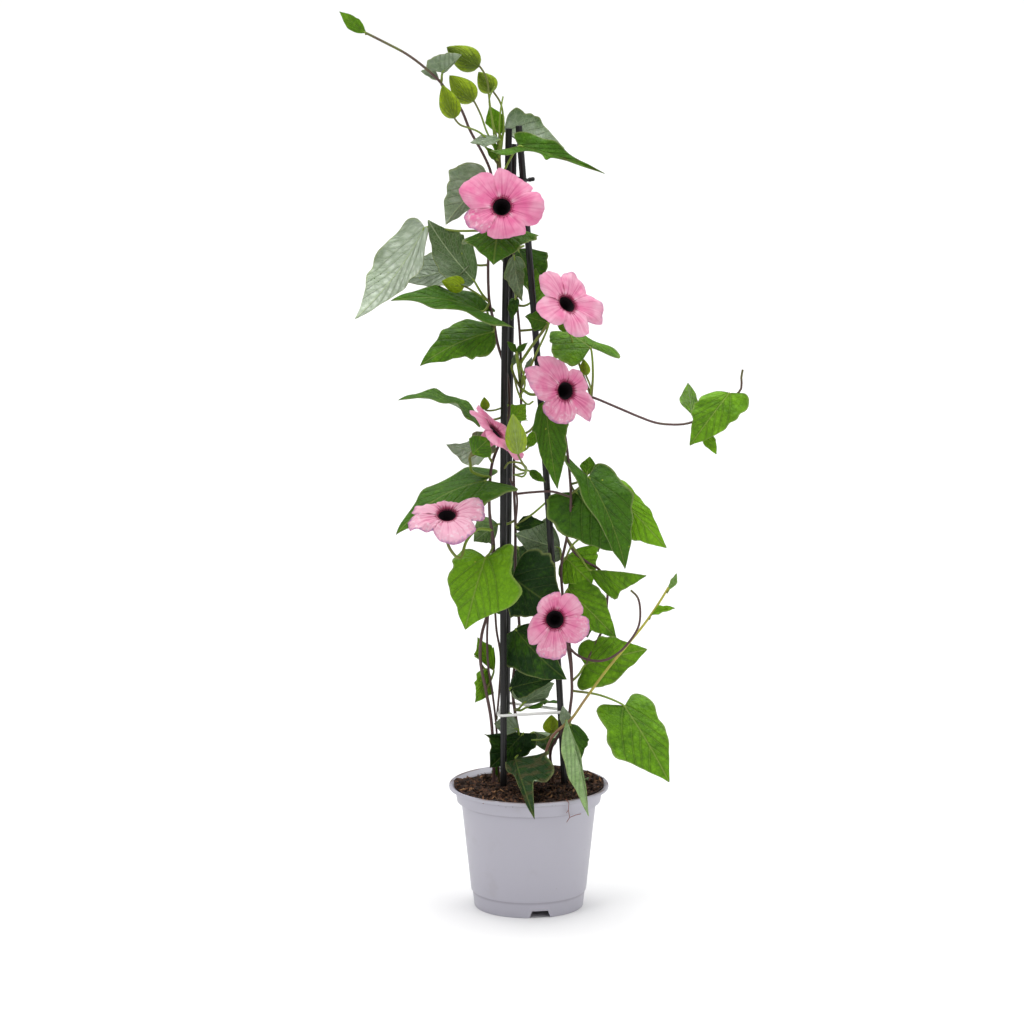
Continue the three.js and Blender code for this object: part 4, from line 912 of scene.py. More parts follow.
@dataclass(frozen=True)
class LivingLeaf(Finish):
    """Leaf blade: waxy and green above, dull and pale below, with a net of veins.

    Reads the attributes blade (share of the half width, place along, underside),
    blade_mm (across and along in millimetres), blade_look (lit, pale, wear) and
    blade_rim (share of the way to the margin). lit paints light and shade into the green,
    and painted shade darkens the hollows beside the veins and between the bulges.
    """

    # Painted light and shade: the top's green runs from base, a blade in deep shade, through mid to lit, one
    # that the light shines through.
    mid: str = "#44720c"
    lit: str = "#80ba18"
    under: str = "#587443"
    silver: str = "#d6e1d0"
    # Painted shade: the dark green of the hollows beside the veins and between the bulges.
    groove: str = "#143008"
    vein: str = "#a4ba58"
    under_vein: str = "#b9cc9c"
    rim: str = "#a3ad6c"
    worn: str = "#54492a"
    speck: str = "#b4c545"
    under_roughness: float = 0.75
    vein_width: float = 0.014
    midrib_width: float = 0.045
    swell_width: float = 0.06
    net_cell: float = 3.0
    quilt_cell: float = 6.5
    cloud_mm: float = 14.286
    grain_mm: float = 3.3333
    blot_mm: float = 6.25
    fleck_mm: float = 8.3333
    relief: float = 1.2

    def paint(self, tree: Tree) -> dict[str, Socket]:
        """Adds the veins, the net, the two faces and their relief.

        Args:
            tree: The material's tree.

        Returns:
            What feeds each of the shader's sockets.
        """
        place = painted(tree, "blade")[1]
        size = add_node(tree, "ShaderNodeAttribute", {"attribute_name": "blade_mm"}).outputs["Vector"]
        lit, pale, wear = painted(tree, "blade_look")[1]
        clouds = step(tree, "NOISE", size, 1 / self.cloud_mm, 3.0)
        mottle = step(tree, "RAMP", clouds, 0.3, 0.7)
        across = step(tree, "ABSOLUTE", place[0])
        along = step(tree, "MULTIPLY_ADD", clouds, 0.03, place[1])
        near = None
        for start, lean, curl in VEINS:
            bend = step(tree, "MULTIPLY_ADD", across, curl, lean)
            route = step(tree, "MULTIPLY_ADD", bend, across, start)
            gap = step(tree, "ABSOLUTE", step(tree, "SUBTRACT", along, route))
            near = step(tree, "MINIMUM", near, gap) if near else gap
        side_veins = step(tree, "RAMP", near, 0.0, self.vein_width, 1.0, 0.0)
        midrib = step(tree, "RAMP", across, 0.0, self.midrib_width, 1.0, 0.0)
        lines = step(tree, "MULTIPLY_ADD", side_veins, 0.2, step(tree, "MULTIPLY", midrib, 0.42))
        beside = step(tree, "MINIMUM", near, step(tree, "MULTIPLY", across, 0.7))
        swell = step(tree, "RAMP", beside, 0.0, self.swell_width, 0.9, 0.0)
        quilt = step(tree, "EDGES", size, 1 / self.quilt_cell)
        tuft = step(tree, "RAMP", quilt, 0.0, 0.4, 0.6, 0.0)
        net = step(tree, "RAMP", step(tree, "EDGES", size, 1 / self.net_cell), 0.0, 0.2, 1.0, 0.0)

        # Painted light and shade: lit, with a little mottle and grain, picks the top's green from base
        # through mid to lit.
        light_and_mottle = step(tree, "MULTIPLY_ADD", mottle, 0.2, lit)
        grain = step(tree, "NOISE", size, 1 / self.grain_mm, 2.0)
        light_and_mottle = step(tree, "MULTIPLY_ADD", grain, 0.4, light_and_mottle)
        top = step(tree, "BLEND", step(tree, "RAMP", light_and_mottle, 0.3, 0.64), self.base, self.mid)
        top = step(tree, "BLEND", step(tree, "RAMP", light_and_mottle, 0.64, 1.3), top, self.lit)
        # Painted shade beside the veins, in the hollows of the quilt and along the fine net.
        for share, mask in ((0.3, swell), (0.22, tuft), (0.12, net)):
            top = step(tree, "BLEND", step(tree, "MULTIPLY", mask, share), top, self.groove)
        # The paler veins show less on a blade painted in shade.
        veins_in_light = step(tree, "MULTIPLY", lines, step(tree, "RAMP", lit, 0.1, 0.7, 0.35, 1.0))
        top = step(tree, "BLEND", veins_in_light, top, self.vein)

        light = step(tree, "MULTIPLY_ADD", mottle, 0.25, pale)
        below = step(tree, "BLEND", light, self.under, self.silver)
        # Painted light: an underside that the light shines through turns yellow-green.
        below = step(tree, "BLEND", step(tree, "RAMP", lit, 0.35, 1.0, 0.0, 0.85), below, self.lit)
        # Painted shade in the quilt's hollows and beside the veins; the raised veins and net are paler.
        for share, mask, colour in (
            (0.7, tuft, self.under),
            (0.34, swell, self.groove),
            (0.16, net, self.under_vein),
            (1.7, lines, self.under_vein),
        ):
            below = step(tree, "BLEND", step(tree, "MULTIPLY", mask, share), below, colour)
        colour = step(tree, "BLEND", place[2], top, below)

        share = painted(tree, "blade_rim")[1][0]
        colour = step(tree, "BLEND", step(tree, "RAMP", share, 0.9, 1.0, 0.0, 0.45), colour, self.rim)
        blots = step(tree, "RAMP", step(tree, "NOISE", size, 1 / self.blot_mm, 4.0), 0.46, 0.6)
        colour = step(tree, "BLEND", step(tree, "MULTIPLY", blots, wear), colour, self.worn)
        feeds = {"Vector": size, "Scale": 1 / self.fleck_mm}
        flecks = add_node(tree, "ShaderNodeTexVoronoi", None, feeds).outputs
        few = step(tree, "RAMP", step(tree, "FIRST", flecks["Color"]), 0.72, 0.78)
        small = step(tree, "RAMP", flecks["Distance"], 0.04, 0.1, 0.7, 0.0)
        colour = step(tree, "BLEND", step(tree, "MULTIPLY", small, few), colour, self.speck)

        dull = step(tree, "RAMP", place[2], 0.0, 1.0, self.roughness, self.under_roughness)
        side = step(tree, "RAMP", place[2], 0.0, 1.0, -1.0, 1.0)
        fine = step(tree, "MULTIPLY_ADD", net, 0.22, step(tree, "MAXIMUM", swell, tuft))
        bump = step(tree, "RELIEF", 0.8, self.relief * MM, step(tree, "MULTIPLY", fine, side))
        return {"Base Color": colour, "Roughness": dull, "Normal": bump}


@dataclass(frozen=True)
class GreenStalk(Finish):
    """Young stem or stalk: green and finely hairy."""

    old: str = "#5b4240"
    fade_from: float = 0.35
    fade_to: float = 1.0
    blotch_mm: float = 11.111
    hair_mm: float = 0.71429

    def paint(self, tree: Tree) -> dict[str, Socket]:
        """Fades from the woody colour at the root to green at the tip, with blotches.

        Args:
            tree: The material's tree.

        Returns:
            What feeds each of the shader's sockets.
        """
        along = add_node(tree, "ShaderNodeAttribute", {"attribute_name": "along"}).outputs["Fac"]
        spot = step(tree, "PLACE")
        blotch = step(tree, "NOISE", spot, 1 / (self.blotch_mm * MM), 2.0)
        drift = step(tree, "MULTIPLY_ADD", blotch, 0.5, along)
        share = step(tree, "RAMP", drift, self.fade_from, self.fade_to)
        grain = step(tree, "NOISE", spot, 1 / (self.hair_mm * MM))
        bump = step(tree, "RELIEF", 0.3, 0.2 * MM, grain)
        return {"Base Color": step(tree, "BLEND", share, self.old, self.base), "Normal": bump}


@dataclass(frozen=True)
class LivingPetal(Finish):
    """Petal: soft pink with fine darker rays, a magenta ring and a nearly black eye.

    Reads the attribute petal (share of the half span, distance from the eye in
    millimetres, seed) and petal_look (wilt, pale, share of the reach).
    """

    light: str = "#f3bfd2"
    ray: str = "#c64a7e"
    ring: str = "#8f0f45"
    eye: str = "#16020c"
    wilted: str = "#94508e"
    # Pale pink: a painted highlight where the petals meet near the throat, and the real fading of withered
    # tips.
    fade_and_highlight: str = "#f6dde6"
    eye_radius: Point = (5.2, 7.6)
    ring_radius: Point = (7.2, 9.8)
    cloud_mm: float = 9.0909
    blot_mm: float = 2.381

    def paint(self, tree: Tree) -> dict[str, Socket]:
        """Adds the rays, the ring, the eye and the withered tips.

        Args:
            tree: The material's tree.

        Returns:
            What feeds each of the shader's sockets.
        """
        spot, part = painted(tree, "petal")
        wilt, pale, reach = painted(tree, "petal_look")[1]
        rays = step(tree, "NOISE", step(tree, "STRETCH", spot, (11.0, 0.03, 1.0)), 1.0, 3.0)
        streak = step(tree, "RAMP", rays, 0.42, 0.68)
        streak = step(tree, "MULTIPLY", streak, step(tree, "RAMP", reach, 0.05, 0.95, 0.75, 0.26))
        body = step(tree, "PLACE")
        cloud = step(tree, "NOISE", body, 1 / (self.cloud_mm * MM), 2.0)
        paler = step(tree, "MULTIPLY_ADD", reach, 0.3, pale)
        paler = step(tree, "MULTIPLY_ADD", cloud, 0.9, paler)
        soft = step(tree, "RAMP", paler, 0.45, 1.3, 0.0, 0.9)
        colour = step(tree, "BLEND", soft, self.base, self.light)
        colour = step(tree, "BLEND", streak, colour, self.ray)
        middle = step(tree, "ABSOLUTE", part[0])
        # Painted highlight: each petal's sides are paler near the throat, where the petals meet.
        deep = step(tree, "RAMP", reach, 0.05, 0.4, 0.6, 0.0)
        seam = step(tree, "MULTIPLY", step(tree, "RAMP", middle, 0.55, 0.95), deep)
        colour = step(tree, "BLEND", seam, colour, self.fade_and_highlight)
        wobble = step(tree, "MULTIPLY_ADD", streak, -2.4, part[1])
        wobble = step(tree, "MULTIPLY_ADD", middle, 0.6, wobble)
        ring_mask = step(tree, "RAMP", wobble, *self.ring_radius, 0.95, 0.0)
        colour = step(tree, "BLEND", ring_mask, colour, self.ring)
        eye_mask = step(tree, "RAMP", wobble, *self.eye_radius, 1.0, 0.0)
        colour = step(tree, "BLEND", eye_mask, colour, self.eye)
        blots = step(tree, "NOISE", body, 1 / (self.blot_mm * MM), 3.0)
        spent = step(tree, "RAMP", wilt, 0.3, 1.0, 0.0, 0.8)
        faded = step(tree, "MULTIPLY", step(tree, "RAMP", blots, 0.5, 0.66), spent)
        faded = step(tree, "MULTIPLY", faded, step(tree, "RAMP", reach, 0.35, 0.8))
        colour = step(tree, "BLEND", faded, colour, self.fade_and_highlight)
        edge = step(tree, "RAMP", step(tree, "MULTIPLY_ADD", blots, 0.36, reach), 1.05, 1.22)
        colour = step(tree, "BLEND", step(tree, "MULTIPLY", edge, wilt), colour, self.wilted)
        return {"Base Color": colour, "Normal": step(tree, "RELIEF", 0.5, 0.3 * MM, streak)}


@dataclass(frozen=True)
class MouldedPot(Finish):
    """Injection-moulded polypropylene: even and satin, with splashes of soil and scuffs.

    Painted shade darkens the wall under each ledge, at the given heights; soil smears the lip.
    """

    soiling: str = "#8f877d"
    # Painted shade: the darker lavender grey just under each ledge.
    dust: str = "#8d8894"
    earth: str = "#6b5140"
    speck_mm: float = 7.0
    stain_mm: float = 22.222
    peel_mm: float = 1.1111
    ledges: tuple[float, ...] = (80.5, 90.3, 12.0)
    ledge_shade_mm: float = 2.4
    lip: float = 93.0

    def paint(self, tree: Tree) -> dict[str, Socket]:
        """Adds the specks of dried soil, the faint stains and the moulded texture.

        Args:
            tree: The material's tree.

        Returns:
            What feeds each of the shader's sockets.
        """
        spot = step(tree, "PLACE")
        feeds = {"Vector": spot, "Scale": 1 / (self.speck_mm * MM)}
        cells = add_node(tree, "ShaderNodeTexVoronoi", None, feeds).outputs
        limit = step(tree, "RAMP", step(tree, "FIRST", cells["Color"]), 0.62, 1.0, 0.0, 0.07)
        near = step(tree, "SUBTRACT", limit, cells["Distance"])
        speck = step(tree, "RAMP", near, 0.0, 0.04, 0.0, 0.7)
        stain = step(tree, "NOISE", spot, 1 / (self.stain_mm * MM), 5.0)
        dirt = step(tree, "MAXIMUM", speck, step(tree, "RAMP", stain, 0.58, 0.85, 0.0, 0.22))
        colour = step(tree, "BLEND", dirt, self.base, self.soiling)
        high = step(tree, "THIRD", spot)
        # Painted shade: the wall just under each ledge is darker, where the ledge shades it.
        for ledge in self.ledges:
            low, brim = (ledge - self.ledge_shade_mm) * MM, (ledge - 0.2) * MM
            shadow = step(tree, "RAMP", high, low, brim, 0.0, 0.5)
            under = step(tree, "MULTIPLY", shadow, step(tree, "LESS_THAN", high, ledge * MM))
            colour = step(tree, "BLEND", under, colour, self.dust)
        smear = step(tree, "RAMP", high, (self.lip - 0.7) * MM, self.lip * MM)
        smear = step(tree, "MULTIPLY", smear, step(tree, "RAMP", stain, 0.42, 0.6, 0.0, 0.75))
        colour = step(tree, "BLEND", smear, colour, self.earth)
        peel = step(tree, "NOISE", spot, 1 / (self.peel_mm * MM))
        return {"Base Color": colour, "Normal": step(tree, "RELIEF", 0.12, 0.1 * MM, peel)}


@dataclass(frozen=True)
class Peat(Finish):
    """Damp peat compost: matt and dark, with fibres and dust of several browns."""

    light: str = "#8a6244"
    grain_mm: float = 3.0

    def paint(self, tree: Tree) -> dict[str, Socket]:
        """Mottles the browns and roughens the surface.

        Args:
            tree: The material's tree.

        Returns:
            What feeds each of the shader's sockets.
        """
        grain = step(tree, "NOISE", step(tree, "PLACE"), 1 / (self.grain_mm * MM), 6.0)
        colour = step(tree, "BLEND", step(tree, "RAMP", grain, 0.45, 0.78), self.base, self.light)
        return {"Base Color": colour, "Normal": step(tree, "RELIEF", 0.9, 1.2 * MM, grain)}


@dataclass(frozen=True)
class DustyPlastic(Finish):
    """Extruded or moulded plastic with a little dust in its surface."""

    # The colour of the dust.
    dust: str = "#252021"
    streak_mm: float = 2.0

    def paint(self, tree: Tree) -> dict[str, Socket]:
        """Adds dust that runs lengthwise.

        Args:
            tree: The material's tree.

        Returns:
            What feeds each of the shader's sockets.
        """
        run = step(tree, "STRETCH", step(tree, "PLACE"), (1.0, 1.0, 0.12))
        dust = step(tree, "NOISE", run, 1 / (self.streak_mm * MM), 4.0)
        share = step(tree, "RAMP", dust, 0.5, 0.85, 0.0, 0.6)
        return {"Base Color": step(tree, "BLEND", share, self.base, self.dust)}


# ---- geometry-nodes trees: sweeps and scatters ----


def start_group(name: str, inputs: dict[str, str]) -> tuple[Tree, Any]:
    """Starts a geometry-nodes tree.

    Args:
        name: Its name.
        inputs: The type of each input's socket.

    Returns:
        The tree and the outputs of its input node.
    """
    tree = bpy.data.node_groups.new(name, "GeometryNodeTree")
    for key, kind in inputs.items():
        tree.interface.new_socket(key, in_out="INPUT", socket_type=f"NodeSocket{kind}")
    tree.interface.new_socket("Mesh", in_out="OUTPUT", socket_type="NodeSocketGeometry")
    return tree, add_node(tree, "NodeGroupInput").outputs


def run_group(
    tree: Tree, shape: Socket, finish: Socket, name: str, data: bpy.types.ID, values: dict[str, Any]
) -> Mesh:
    """Ends a geometry-nodes tree and runs it on a mesh or curve.

    Args:
        tree: The tree.
        shape: The geometry that it makes.
        finish: The material that it gives.
        name: The new mesh's name.
        data: The mesh or curve that it starts from.
        values: The value of each other input.

    Returns:
        One plain mesh, in metres.
    """
    single = add_node(tree, "GeometryNodeRealizeInstances", None, {"Geometry": shape}).outputs[0]
    feeds = {"Geometry": single, "Material": finish}
    painted = add_node(tree, "GeometryNodeSetMaterial", None, feeds).outputs[0]
    add_node(tree, "NodeGroupOutput", None, {0: painted})
    carrier = add_object(name, data)
    modifier = carrier.modifiers.new("grow", "NODES")
    modifier.node_group = tree
    for socket in tree.interface.items_tree:
        if socket.in_out == "INPUT" and socket.name in values:
            modifier[socket.identifier] = values[socket.name]
    return baked(name, carrier)


def baked(name: str, carrier: bpy.types.Object) -> Mesh:
    """Turns an object with live modifiers into a plain mesh and removes the object.

    Args:
        name: The new mesh's name.
        carrier: The object.

    Returns:
        The plain mesh.
    """
    graph = bpy.context.evaluated_depsgraph_get()
    mesh = bpy.data.meshes.new_from_object(carrier.evaluated_get(graph))
    mesh.name = name
    carrier.modifiers.clear()
    bpy.data.objects.remove(carrier)
    return mesh


class Section(Enum):
    """Cross-sections that a path can be swept with."""

    ROUND = "round"
    RIBBED = "ribbed"


@dataclass(frozen=True)
class Sweep:
    """Sweeps a section along curves, scaled by their radius."""

    section: Section
    sides: int
    groove: float = 0.0

    def mesh(
        self, name: str, lines: Sequence[Line], material: Material, closed: bool = False
    ) -> Mesh:
        """Sweeps every line and returns one plain mesh.

        Args:
            name: The mesh's name.
            lines: Each line's points and its radius at each point, in millimetres.
            material: The finish.
            closed: Whether each line closes on itself.

        Returns:
            The mesh, in metres.
        """
        curve = bpy.data.curves.new(name, "CURVE")
        curve.dimensions = "3D"
        for points, radii in lines:
            spline = curve.splines.new("POLY")
            spline.points.add(len(points) - 1)
            spline.use_cyclic_u = closed
            for spot, place, radius in zip(spline.points, points, radii):
                spot.co = (*(place * MM), 1.0)
                spot.radius = radius * MM
        inputs = {"Curve": "Geometry", "Sides": "Int", "Groove": "Float", "Finish": "Material"}
        tree, given = start_group(f"sweep_{self.section.value}", inputs)
        if self.section is Section.RIBBED:
            valley = step(tree, "SUBTRACT", 1.0, given["Groove"])
            feeds = {"Points": given["Sides"], "Inner Radius": valley, "Outer Radius": 1.0}
            profile = add_node(tree, "GeometryNodeCurveStar", None, feeds)
        else:
            feeds = {"Resolution": given["Sides"], "Radius": 1.0}
            profile = add_node(tree, "GeometryNodeCurvePrimitiveCircle", None, feeds)
        share = add_node(tree, "GeometryNodeSplineParameter").outputs["Factor"]
        marked = add_node(
            tree,
            "GeometryNodeStoreNamedAttribute",
            {"data_type": "FLOAT", "domain": "POINT"},
            {"Geometry": given["Curve"], "Name": "along", "Value": share},
        )
        feeds = {
            "Curve": marked.outputs[0],
            "Profile Curve": profile.outputs["Curve"],
            "Scale": add_node(tree, "GeometryNodeInputRadius").outputs[0],
            "Fill Caps": True,
        }
        swept = add_node(tree, "GeometryNodeCurveToMesh", None, feeds).outputs[0]
        values = {"Sides": self.sides, "Groove": self.groove, "Finish": material}
        return run_group(tree, swept, given["Finish"], name, curve, values)


@dataclass(frozen=True)
class Scatter:
    """Strews bits of compost over a surface, each with its length and girth in millimetres."""

    spacing: float
    length: float
    girth: float
    spread: float
    seed: int
    lean: float = 0.8
    flat: float = 0.7

    def mesh(self, name: str, ground: Mesh, material: Material) -> Mesh:
        """Strews the bits over a ground mesh.

        Args:
            name: The new mesh's name.
            ground: The surface that they lie on, in metres.
            material: Their finish.

        Returns:
            The bits as one plain mesh.
        """
        values = {
            "Density": 1 / (self.spacing * MM) ** 2,
            "Length": self.length * MM,
            "Girth": self.girth * MM,
            "Spread": self.spread,
            "Seed": self.seed,
            "Finish": material,
        }
        kinds = {"Ground": "Geometry", **dict.fromkeys(values, "Float"), "Seed": "Int", "Finish": "Material"}
        tree, given = start_group("strewn_bits", kinds)
        feeds = {"Mesh": given["Ground"], "Density": given["Density"], "Seed": given["Seed"]}
        points = add_node(tree, "GeometryNodeDistributePointsOnFaces", None, feeds).outputs[0]
        feeds = {"Radius": 1.0, "Subdivisions": 1}
        bit = add_node(tree, "GeometryNodeMeshIcoSphere", None, feeds).outputs["Mesh"]
        feeds = {0: (-self.lean, -self.lean, 0.0), 1: (self.lean, self.lean, 6.28), "Seed": given["Seed"]}
        kind = {"data_type": "FLOAT_VECTOR"}
        turn = add_node(tree, "FunctionNodeRandomValue", kind, feeds).outputs[0]
        turn = add_node(tree, "FunctionNodeEulerToRotation", None, {0: turn}).outputs[0]
        least = step(tree, "SUBTRACT", 1.0, given["Spread"])
        most = step(tree, "ADD", 1.0, given["Spread"])
        feeds = {2: least, 3: most, "Seed": 7}
        size = add_node(tree, "FunctionNodeRandomValue", {"data_type": "FLOAT"}, feeds).outputs[1]
        thick = step(tree, "MULTIPLY", given["Girth"], self.flat)
        feeds = {0: given["Length"], 1: given["Girth"], 2: thick}
        shape = add_node(tree, "ShaderNodeCombineXYZ", None, feeds).outputs[0]
        feeds = {0: shape, 3: size}
        scale = add_node(tree, "ShaderNodeVectorMath", {"operation": "SCALE"}, feeds).outputs[0]
        feeds = {"Points": points, "Instance": bit, "Rotation": turn, "Scale": scale}
        strewn = add_node(tree, "GeometryNodeInstanceOnPoints", None, feeds).outputs[0]
        return run_group(tree, strewn, given["Finish"], name, ground.copy(), values)


# ---- blades, buds and blooms ----


@dataclass(frozen=True)
class BladeShape:
    """The fine surface of one leaf blade or bract.

    The heights of its waves, bulges and cup are shares of its length, and the waves
    along it are counted in radians or, for scallops and swings, in turns.
    """

    leaf: Leaf
    seed: int
    rows: int = 40
    columns: int = 9
    thickness: float = 0.45
    wave: float = 0.035
    lobe: float = 0.055
    bulge: float = 0.014
    quilt: float = 0.012
    cup: float = 0.14
    ripples: float = 14.0
    quilts: float = 21.0
    scallops: float = 2.5
    swings: Point = (1.5, 3.7)
    belly: Point = (0.55, 0.3)
    torn: Point = (0.42, 0.54)
    torn_wear: float = 0.5

    def outline(self, half: int) -> list[Point]:
        """Runs a smooth margin through the outline of one half.

        Args:
            half: The left half (0) or the right (1).

        Returns:
            From base to tip: place along, half-width share and midrib place.
        """
        knots = [(0.0, 0.0, 0.0), *self.leaf.form.margin(half), (1.0, 0.0, 1.0)]
        line = []
        for k in range(self.rows + 1):
            reach = k / self.rows * (len(knots) - 1)
            i = min(int(reach), len(knots) - 2)
            near = (knots[max(i - 1, 0)], knots[i], knots[i + 1], knots[min(i + 2, len(knots) - 1)])
            spot = [between(b, c, (c - a) / 2, (d - b) / 2, reach - i) for a, b, c, d in zip(*near)]
            line.append(spot)
        return line

    def wear(self, along: float) -> float:
        """How withered the blade is: a torn tail is dry.

        Args:
            along: The place, as a share of the length.

        Returns:
            The share that is dead.
        """
        if self.leaf.form is not BladeForm.TAILED:
            return self.leaf.wear
        start, end = self.torn
        return self.leaf.wear + self.torn_wear * min(1.0, max(0.0, (along - start) / (end - start)))

    def build(self, draft: Draft) -> None:
        """Adds the blade to a draft, with its vein coordinates painted on.

        Args:
            draft: The draft.
        """
        leaf, dice, last = self.leaf, Dice(self.seed), self.rows
        widest, teeth = leaf.form.value[0], leaf.form.value[3]
        base = Vector(leaf.base)
        along = Vector(leaf.tip) - base
        length = along.length
        halves = []
        for corner in (leaf.left, leaf.right):
            reach = Vector(corner) - base
            share = reach.dot(along) / length**2
            halves.append((reach - along * share, share - widest, math.tau * dice.next()))
        up = along.cross(halves[1][0] - halves[0][0]).normalized()
        tooth_phase = math.tau * dice.next()
        lobes = [(math.tau * dice.next(), math.tau * dice.next()) for _ in halves]
        cup = self.cup * (dice.next() - 0.6) * length

        def spot(s: float, w: float, half: int, c: float) -> Vector:
            """Finds a place of the blade.

            Args:
                s: The share of the way along.
                w: The share of the half width.
                half: The left half (0) or the right (1).
                c: The share of the way from the midrib to the margin.

            Returns:
                The place, in millimetres.
            """
            across, lean, phase = halves[half]
            ripple = self.wave * w * c * math.sin(self.ripples * s + phase)
            quilt = self.quilt * w * (1 - c) * math.sin(self.quilts * s + 2 * phase)
            quilt += self.bulge * (pucker(abs(w), s) - 0.5) * (1 - c**4)
            lift = leaf.arch * 4 * s * (1 - s) + (ripple + quilt) * length + cup * w * w
            return base + along * (s + lean * w * (1 - s) ** 2) + across * w + up * lift

        outlines = [self.outline(0), self.outline(1)]
        patch = [spot(m, 0.0, 0, 0.0) for _, _, m in outlines[0]]
        marks = [(0.0, m) for _, _, m in outlines[0]]
        widths = [0.0] * len(patch)
        index = {(half, row, 0): row for half in (0, 1) for row in range(last + 1)}
        for half, (broad, close) in enumerate(lobes):
            for row, (s, w, m) in enumerate(outlines[half][1:-1], start=1):
                turn = math.tau * s
                scallop = abs(math.sin(self.scallops * turn + tooth_phase + half)) - 0.6
                saw = teeth * scallop * min(1.0, 4 * max(0.0, 1 - s))
                swing = math.sin(self.swings[0] * turn + broad)
                swing += 0.5 * math.sin(self.swings[1] * turn + close)
                middle, spread = self.belly
                w *= 1 + self.lobe * swing
                w *= 1 + leaf.full[half] * math.exp(-(((s - middle) / spread) ** 2))
                for column in range(1, self.columns + 1):
                    c = column / self.columns
                    place, wide = m + (s - m) * c, w * c + saw * c**3
                    index[half, row, column] = len(patch)
                    patch.append(spot(place, wide, half, c))
                    marks.append((wide * (1 if half else -1), place))
                    widths.append(c)

        corners = [(0, 0), (1, 0), (1, 1), (0, 1)]
        faces: list[Face] = []
        for row in range(last):
            for column in range(self.columns):
                for half, order in ((1, corners), (0, [corners[0], *corners[:0:-1]])):
                    spots = [(half, row + i, column + j) for i, j in order]
                    face = tuple(dict.fromkeys(index.get(key, key[1]) for key in spots))
                    if len(face) > 2:
                        faces.append(face)
        rim = [index.get((0, row, self.columns), row) for row in range(last + 1)]
        rim += [index[1, row, self.columns] for row in range(last - 1, 0, -1)]
        points, closed = thicken(patch, faces, rim, self.thickness / 2, self.thickness / 2)
        half_width = (halves[0][0].length + halves[1][0].length) / 2
        offset = 200 * dice.next()
        # Painted light and shade: the leaf's lit value, and a pale underside made paler to one side by its
        # slope.
        look = [(leaf.lit, leaf.pale + leaf.slope * a, self.wear(b)) for a, b in marks]
        draft.add(
            points,
            closed,
            blade=[(a, b, under) for under in (0.0, 1.0) for a, b in marks],
            blade_mm=[(a * half_width + offset, b * length, offset) for a, b in marks] * 2,
            blade_look=look * 2,
            blade_rim=[(c, 0.0, 0.0) for c in widths] * 2,
        )


@dataclass(frozen=True)
class BudShape:
    """A closed bud: two keeled bracts that meet in a sharp seam."""

    bud: Bud
    rows: int = 16
    sides: int = 40
    flat: float = 0.7
    pinch: float = 0.07
    seam: float = 0.12
    keel: float = 0.07

    def build(self, draft: Draft) -> None:
        """Adds the bud to a draft.

        Args:
            draft: The draft.
        """
        base = Vector(self.bud.stalk[0])
        axis = Vector(self.bud.tip) - base
        length = axis.length
        axis.normalize()
        side = Vector((0, -1, 0)).cross(axis).normalized()
        depth = axis.cross(side) * self.flat
        points, marks = [base.copy()], [(0.0, 0.0)]
        for row in range(1, self.rows):
            t = row / self.rows
            swell = self.bud.radius * math.sin(math.pi * t**0.72) ** 0.8 * (1 - 0.12 * t)
            for angle in ring(self.sides):
                edge = abs(math.cos(angle))
                lens = 1 + self.seam * edge**10 - self.pinch * math.sin(2 * angle) ** 2
                reach = swell * (lens + self.keel * abs(math.sin(angle)) ** 24)
                out = side * (reach * math.cos(angle)) + depth * (reach * math.sin(angle))
                points.append(base + axis * (t * length) + out)
                marks.append((edge * 0.95, t))
        points.append(Vector(self.bud.tip))
        marks.append((0.0, 1.0))
        span = self.bud.radius * 2
        # The look paints light: the bud's lit value, raised towards the seam at its sides.
        draft.add(
            points,
            turned(self.rows - 1, self.sides, end=len(points) - 1),
            blade=[(a, b, self.bud.matt) for a, b in marks],
            blade_mm=[(a * span, b * length, span) for a, b in marks],
            blade_look=[(self.bud.lit - 0.25 + 0.55 * a**3, 0.1, 0.0) for a, _ in marks],
            blade_rim=[((a / 0.95) ** 5, 0.0, 0.0) for a, _ in marks],
        )


